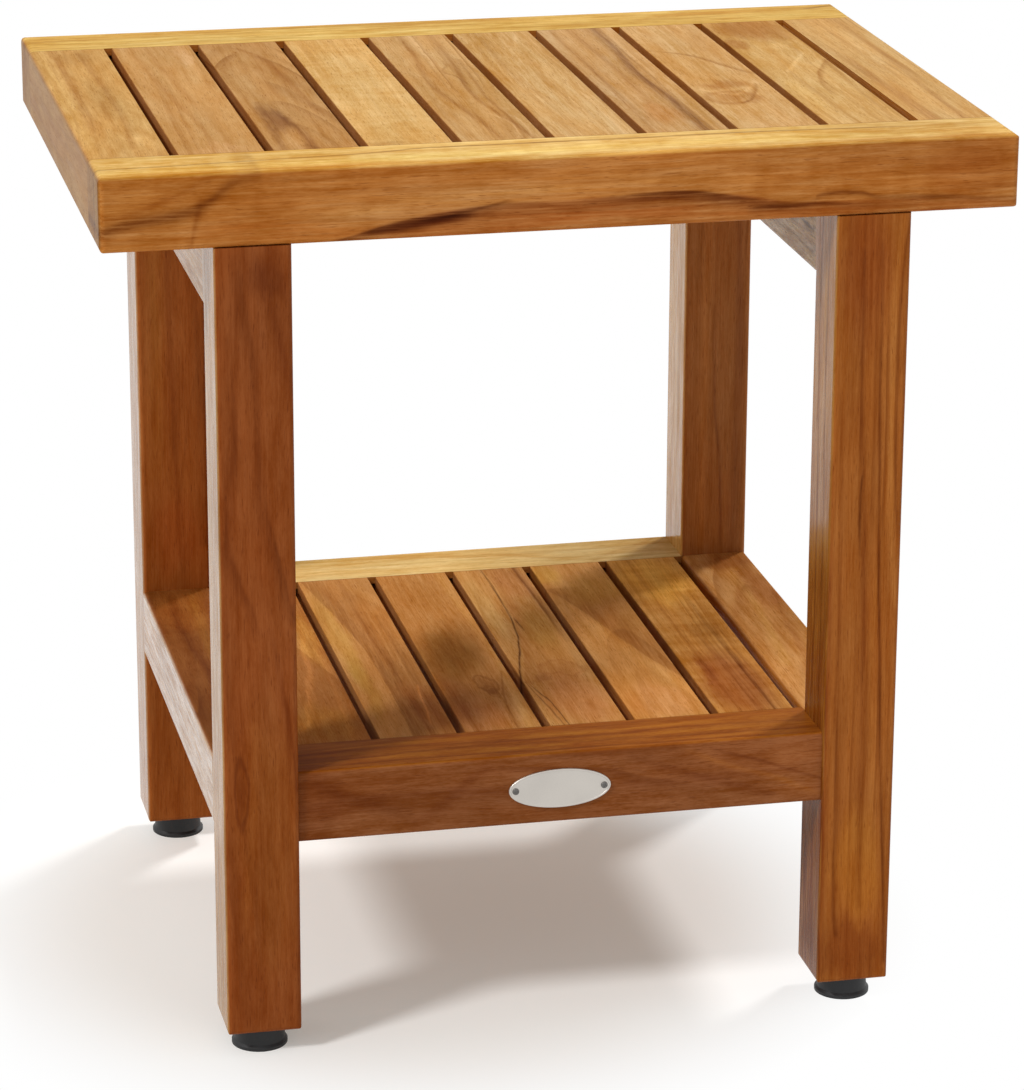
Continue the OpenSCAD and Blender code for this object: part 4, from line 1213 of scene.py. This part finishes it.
def plainFinish(look):
    swing = finishSwing
    material, tree, shader = newMaterial(look["name"])
    where = put(tree, "ShaderNodeTexCoord").outputs["Object"]
    speck = noise(tree, where, look["grain"], *swing["speckDetail"])
    cloud = noise(tree, where, *swing["cloudNoise"])
    tone = timesPlus(tree, minus(tree, speck, 0.5), look["contrast"], 0.5)
    tone = timesPlus(tree, minus(tree, cloud, 0.5), look["contrast"], tone, clamp=True)
    dark, light = (rgba(look["colour"], swing[end]) for end in ("darkest", "lightest"))
    shade = mixColour(tree, tone, dark, light)
    if "dust" in look:
        scuff = ramp(tree, noise(tree, where, *swing["scuffNoise"]), *swing["scuffFrom"])
        shade = mixColour(tree, times(tree, scuff, look["dust"]), shade, rgba(swing["dustColour"]))
    low, high = look["rough"] - swing["smoother"], look["rough"] + swing["rougher"]
    height = put(tree, "ShaderNodeBump", {
        "Height": speck, "Strength": look["bump"], "Distance": swing["bumpDepth"],
    })
    tree.links.new(shade, shader.inputs["Base Color"])
    tree.links.new(ramp(tree, speck, *swing["speckRange"], low, high), shader.inputs["Roughness"])
    tree.links.new(height.outputs[0], shader.inputs["Normal"])
    shader.inputs["Metallic"].default_value = look["metallic"]
    return material


finishes = {name: plainFinish(look) for name, look in finishLooks.items()}


# how close points lie that count as one: in metres for a finished piece, in millimetres while it is made

weldMetres = 1e-6
nearMillimetres = 1e-4
cutMillimetres = 1e-5
toMetres = Matrix.Scale(millimetre, 4)
standUp = Matrix.Rotation(math.radians(90), 4, "X")


def newPiece(mesh, name, finish, standsFor, body):
    bmesh.ops.remove_doubles(mesh, verts=mesh.verts, dist=weldMetres)
    bmesh.ops.recalc_face_normals(mesh, faces=mesh.faces)
    data = bpy.data.meshes.new(name)
    mesh.to_mesh(data)
    mesh.free()
    data.materials.append(finishes[finish])
    piece = bpy.data.objects.new(name, data)
    scene.collection.objects.link(piece)
    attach(piece, body)
    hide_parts(standsFor)
    return piece


def pointsOf(geometry):
    return [v for v in geometry if isinstance(v, bmesh.types.BMVert)]


def roundEdges(mesh, edges, width, steps):
    bmesh.ops.bevel(mesh, geom=edges, offset=width, segments=steps, profile=0.5, material=-1, affect="EDGES")


# threaded stems of the feet, all in millimetres until the last step

stemShape = {
    "crest": 4.0,
    "root": 3.3,
    "pitch": 1.25,
    "profile": (
        ("root", 0.0), ("root", 0.14), ("crest", 0.46), ("crest", 0.60), ("root", 0.92), ("root", 1.0),
    ),
    "lead": 1.5,  # turns that are cut away below the thread
    "threadFrom": 6.0,
    "threadTo": 38.0,
    "sides": 24,
    "tipLength": 0.6,
    "tip": 0.84,
    "headRadius": 7.5,
    "headFrom": 3.0,
    "headTo": 6.5,
    "headRound": 0.5,
    "headSteps": 3,
    "headSides": 40,
}
cornerPlaces = {
    "front_left": (-155.0, -146.0),
    "front_right": (155.0, -146.0),
    "back_left": (-155.0, 146.0),
    "back_right": (155.0, 146.0),
}


def footStem(shape, place):
    mesh = bmesh.new()
    pitch = shape["pitch"]
    start = shape["threadFrom"] - shape["lead"] * pitch
    turns = math.ceil((shape["threadTo"] - start) / pitch) + 1
    profile = [
        mesh.verts.new((shape[level], 0.0, start + share * pitch)) for level, share in shape["profile"]
    ]
    edges = [mesh.edges.new(pair) for pair in zip(profile, profile[1:])]
    bmesh.ops.spin(
        mesh, geom=profile + edges, axis=(0, 0, 1), cent=(0, 0, 0), dvec=(0, 0, pitch / shape["sides"]),
        angle=2 * math.pi * turns, steps=shape["sides"] * turns,
    )
    bmesh.ops.remove_doubles(mesh, verts=mesh.verts, dist=nearMillimetres)
    for height, up in ((shape["threadFrom"], -1), (shape["threadTo"], 1)):
        cut = bmesh.ops.bisect_plane(
            mesh, geom=mesh.verts[:] + mesh.edges[:] + mesh.faces[:], dist=cutMillimetres,
            plane_co=(0, 0, height), plane_no=(0, 0, up), clear_outer=True,
        )
        rim = [e for e in cut["geom_cut"] if isinstance(e, bmesh.types.BMEdge)]
        bmesh.ops.edgeloop_fill(mesh, edges=rim)
    tip = [v for v in mesh.verts if v.co.z > shape["threadTo"] - shape["tipLength"]]
    bmesh.ops.scale(mesh, vec=(shape["tip"], shape["tip"], 1.0), verts=tip)
    deep = shape["headTo"] - shape["headFrom"]
    head = bmesh.ops.create_cone(
        mesh, cap_ends=True, segments=shape["headSides"], radius1=shape["headRadius"],
        radius2=shape["headRadius"], depth=deep,
        matrix=Matrix.Translation((0, 0, shape["headFrom"] + deep / 2)),
    )["verts"]
    rims = {e for v in head for e in v.link_edges if abs(e.verts[0].co.z - e.verts[1].co.z) < nearMillimetres}
    roundEdges(mesh, list(rims), shape["headRound"], shape["headSteps"])
    bmesh.ops.translate(mesh, vec=(place[0], place[1], 0.0), verts=mesh.verts)
    bmesh.ops.scale(mesh, vec=(millimetre, millimetre, millimetre), verts=mesh.verts)
    return mesh


for corner, place in cornerPlaces.items():
    stem = "foot_stem_" + corner
    newPiece(footStem(stemShape, place), "threaded_stem_" + corner, "zinc", stem, stem)
    nodes["foot_pad_" + corner].data.materials[0] = finishes["black"]
print("threaded stems:", len(cornerPlaces))


# oval plate and its two screws on the shelf's front rail

plateShape = {
    "centre": (-1.8, -161.8, 132.75),
    "width": 53.0,
    "height": 20.8,
    "thickness": 1.2,
    "rim": 0.9,
    "rimStep": 0.15,
    "rimDepth": 0.12,
    "edge": 0.4,
    "edgeSteps": 3,
    "sides": 120,
}
screwShape = {
    "spread": 23.0,
    "radius": 1.75,
    "height": 0.75,
    "round": 0.5,
    "roundSteps": 4,
    "sides": 40,
    "slot": 0.26,
    "reach": 1.05,
    "slotDepth": 0.35,
    "shank": 1.05,
    "shankTip": 0.3,
    "shankLength": 10.0,
    "shankSides": 16,
    "shankGap": 0.01,
    "turns": (20.0, 64.0),
}


def raisedDisc(sides, radius, oval, height, edge, steps):
    # a flat disc with its upper rim rounded
    mesh = bmesh.new()
    disc = bmesh.ops.create_circle(mesh, cap_ends=True, segments=sides, radius=radius)["verts"]
    bmesh.ops.scale(mesh, vec=(oval[0], oval[1], 1.0), verts=disc)
    raised = bmesh.ops.extrude_face_region(mesh, geom=mesh.faces[:])["geom"]
    bmesh.ops.translate(mesh, vec=(0, 0, height), verts=pointsOf(raised))
    rim = [e for e in mesh.edges if all(v.co.z > height - nearMillimetres for v in e.verts)]
    roundEdges(mesh, rim, edge, steps)
    return mesh


def ovalPlate(shape):
    mesh = raisedDisc(
        shape["sides"], 0.5, (shape["width"], shape["height"]), shape["thickness"], shape["edge"],
        shape["edgeSteps"],
    )
    face = max(mesh.faces, key=lambda f: f.calc_center_median().z)
    bmesh.ops.inset_region(mesh, faces=[face], thickness=shape["rim"] - shape["edge"], use_even_offset=True)
    bmesh.ops.inset_region(
        mesh, faces=[face], thickness=shape["rimStep"], depth=-shape["rimDepth"], use_even_offset=True
    )
    stand = Matrix.Translation(shape["centre"]) @ standUp
    bmesh.ops.transform(mesh, matrix=toMetres @ stand, verts=mesh.verts)
    return mesh


def sinkCross(screw, shape):
    # cuts the head's top along both sides of a cross and sinks what lies inside
    high = shape["height"] - nearMillimetres
    for axis in ((1, 0, 0), (0, 1, 0)):
        for away in (-shape["reach"], -shape["slot"], shape["slot"], shape["reach"]):
            flat = [f for f in screw.faces if f.calc_center_median().z > high]
            parts = set(flat) | {e for f in flat for e in f.edges} | {v for f in flat for v in f.verts}
            bmesh.ops.bisect_plane(
                screw, geom=list(parts), dist=cutMillimetres, plane_co=Vector(axis) * away, plane_no=axis
            )
    cross = []
    for face in screw.faces:
        middle = face.calc_center_median()
        near, far = sorted((abs(middle.x), abs(middle.y)))
        if middle.z > high and near < shape["slot"] and far < shape["reach"]:
            cross.append(face)
    sunk = bmesh.ops.extrude_face_region(screw, geom=cross)["geom"]
    bmesh.ops.translate(screw, vec=(0, 0, -shape["slotDepth"]), verts=pointsOf(sunk))
    bmesh.ops.delete(screw, geom=cross, context="FACES")


def plateScrews(shape, plate):
    mesh = bmesh.new()
    for side, turn in zip((-1, 1), shape["turns"]):
        screw = raisedDisc(
            shape["sides"], shape["radius"], (1.0, 1.0), shape["height"], shape["round"], shape["roundSteps"]
        )
        sinkCross(screw, shape)
        bmesh.ops.create_cone(
            screw, cap_ends=True, segments=shape["shankSides"], radius1=shape["shankTip"],
            radius2=shape["shank"], depth=shape["shankLength"],
            matrix=Matrix.Translation((0, 0, -shape["shankLength"] / 2 - shape["shankGap"])),
        )
        proud = plate["thickness"] - plate["rimDepth"]
        seat = Vector(plate["centre"]) + Vector((side * shape["spread"], -proud, 0))
        stand = Matrix.Translation(seat) @ standUp @ Matrix.Rotation(math.radians(turn), 4, "Z")
        bmesh.ops.transform(screw, matrix=toMetres @ stand, verts=screw.verts)
        spare = bpy.data.meshes.new("spare")
        screw.to_mesh(spare)
        screw.free()
        mesh.from_mesh(spare)
        bpy.data.meshes.remove(spare)
    return mesh


newPiece(ovalPlate(plateShape), "bevelled_plate", "plate", "oval_plate", "frame")
newPiece(
    plateScrews(screwShape, plateShape),
    "cross_screws", "screw", "plate_screws", "frame",
)
for name in ("seat_bolts", "seat_bolt_washers"):
    nodes[name].data.materials[0] = finishes["stainless"]
for name in ("seat_bolt_inserts", "foot_inserts"):
    nodes[name].data.materials[0] = finishes["brass"]
print("plate, screws, bolts and inserts set")


# floor, world and lamps

stageLight = {
    "skyForObject": 0.48,
    "left": {"towards": (-0.97, -0.50, 1.0), "level": 0.33, "angle": 10.0},
    "right": {"towards": (0.78, 0.70, 1.0), "level": 0.33, "angle": 10.0},
    "floorSize": 9.0,
    "floorColour": (0.88, 0.87, 0.855),
    "floorLift": (0.185, 0.178, 0.155),
    "whiteCentre": (-0.05, 0.0, 0.0),
    "whiteFrom": 0.15,
    "whiteTo": 0.29,
}


def seenDirectly(tree):
    path = put(tree, "ShaderNodeLightPath").outputs
    seen = calc(tree, "MAXIMUM", path["Is Camera Ray"], path["Is Glossy Ray"])
    return calc(tree, "MAXIMUM", seen, path["Is Transmission Ray"])


def addFloor():
    grid = bmesh.new()
    bmesh.ops.create_grid(grid, x_segments=1, y_segments=1, size=stageLight["floorSize"])
    mesh = bpy.data.meshes.new("floor")
    grid.to_mesh(mesh)
    grid.free()
    floor = bpy.data.objects.new("floor", mesh)
    scene.collection.objects.link(floor)
    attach(floor, "foot_stem_front_left")  # so that feet screwed out still stand on it
    material, tree, shader = newMaterial("studio_floor")
    shader.inputs["Base Color"].default_value = rgba(stageLight["floorColour"])
    shader.inputs["Roughness"].default_value = 1.0
    shader.inputs["Specular IOR Level"].default_value = 0.0
    where = put(tree, "ShaderNodeTexCoord").outputs["Object"]
    flat = vec(tree, "SUBTRACT", vec(tree, "MULTIPLY", where, (1.0, 1.0, 0.0)), stageLight["whiteCentre"])
    far = put(tree, "ShaderNodeVectorMath", {0: flat}, operation="LENGTH")
    away = ramp(tree, far.outputs[1], stageLight["whiteFrom"], stageLight["whiteTo"])
    lift = put(tree, "ShaderNodeEmission", {"Color": rgba(stageLight["floorLift"]), "Strength": 1.0})
    white = put(tree, "ShaderNodeEmission", {"Strength": 1.0})
    near = put(tree, "ShaderNodeAddShader", {0: shader.outputs[0], 1: lift.outputs[0]})
    shown = put(tree, "ShaderNodeMixShader", {0: away, 1: near.outputs[0], 2: white.outputs[0]})
    both = put(tree, "ShaderNodeMixShader", {
        0: seenDirectly(tree), 1: shader.outputs[0], 2: shown.outputs[0],
    })
    under = put(tree, "ShaderNodeNewGeometry").outputs["Backfacing"]
    clear = put(tree, "ShaderNodeBsdfTransparent")
    final = put(tree, "ShaderNodeMixShader", {0: under, 1: both.outputs[0], 2: clear.outputs[0]})
    output = next(n for n in tree.nodes if n.type == "OUTPUT_MATERIAL")
    tree.links.new(final.outputs[0], output.inputs["Surface"])
    mesh.materials.append(material)


def addWorld():
    world = bpy.data.worlds.new("studio")
    scene.world = world
    world.use_nodes = True
    tree = world.node_tree
    tree.nodes.clear()
    level = put(tree, "ShaderNodeMapRange", {0: seenDirectly(tree), 3: stageLight["skyForObject"], 4: 1.0})
    sky = put(tree, "ShaderNodeBackground", {"Color": (1.0, 1.0, 1.0, 1.0), "Strength": level.outputs[0]})
    output = put(tree, "ShaderNodeOutputWorld")
    tree.links.new(sky.outputs[0], output.inputs["Surface"])


def addLamp(name):
    lamp = stageLight[name]
    towards = Vector(lamp["towards"]).normalized()
    data = bpy.data.lights.new("lamp_" + name, "SUN")
    data.energy = lamp["level"] * math.pi / towards.z
    data.angle = math.radians(lamp["angle"])
    sun = bpy.data.objects.new("lamp_" + name, data)
    scene.collection.objects.link(sun)
    sun.rotation_mode = "QUATERNION"
    sun.rotation_quaternion = towards.to_track_quat("Z", "Y")


addFloor()
addWorld()
addLamp("left")
addLamp("right")
scene.view_settings.view_transform = "Standard"
print("stage lit")
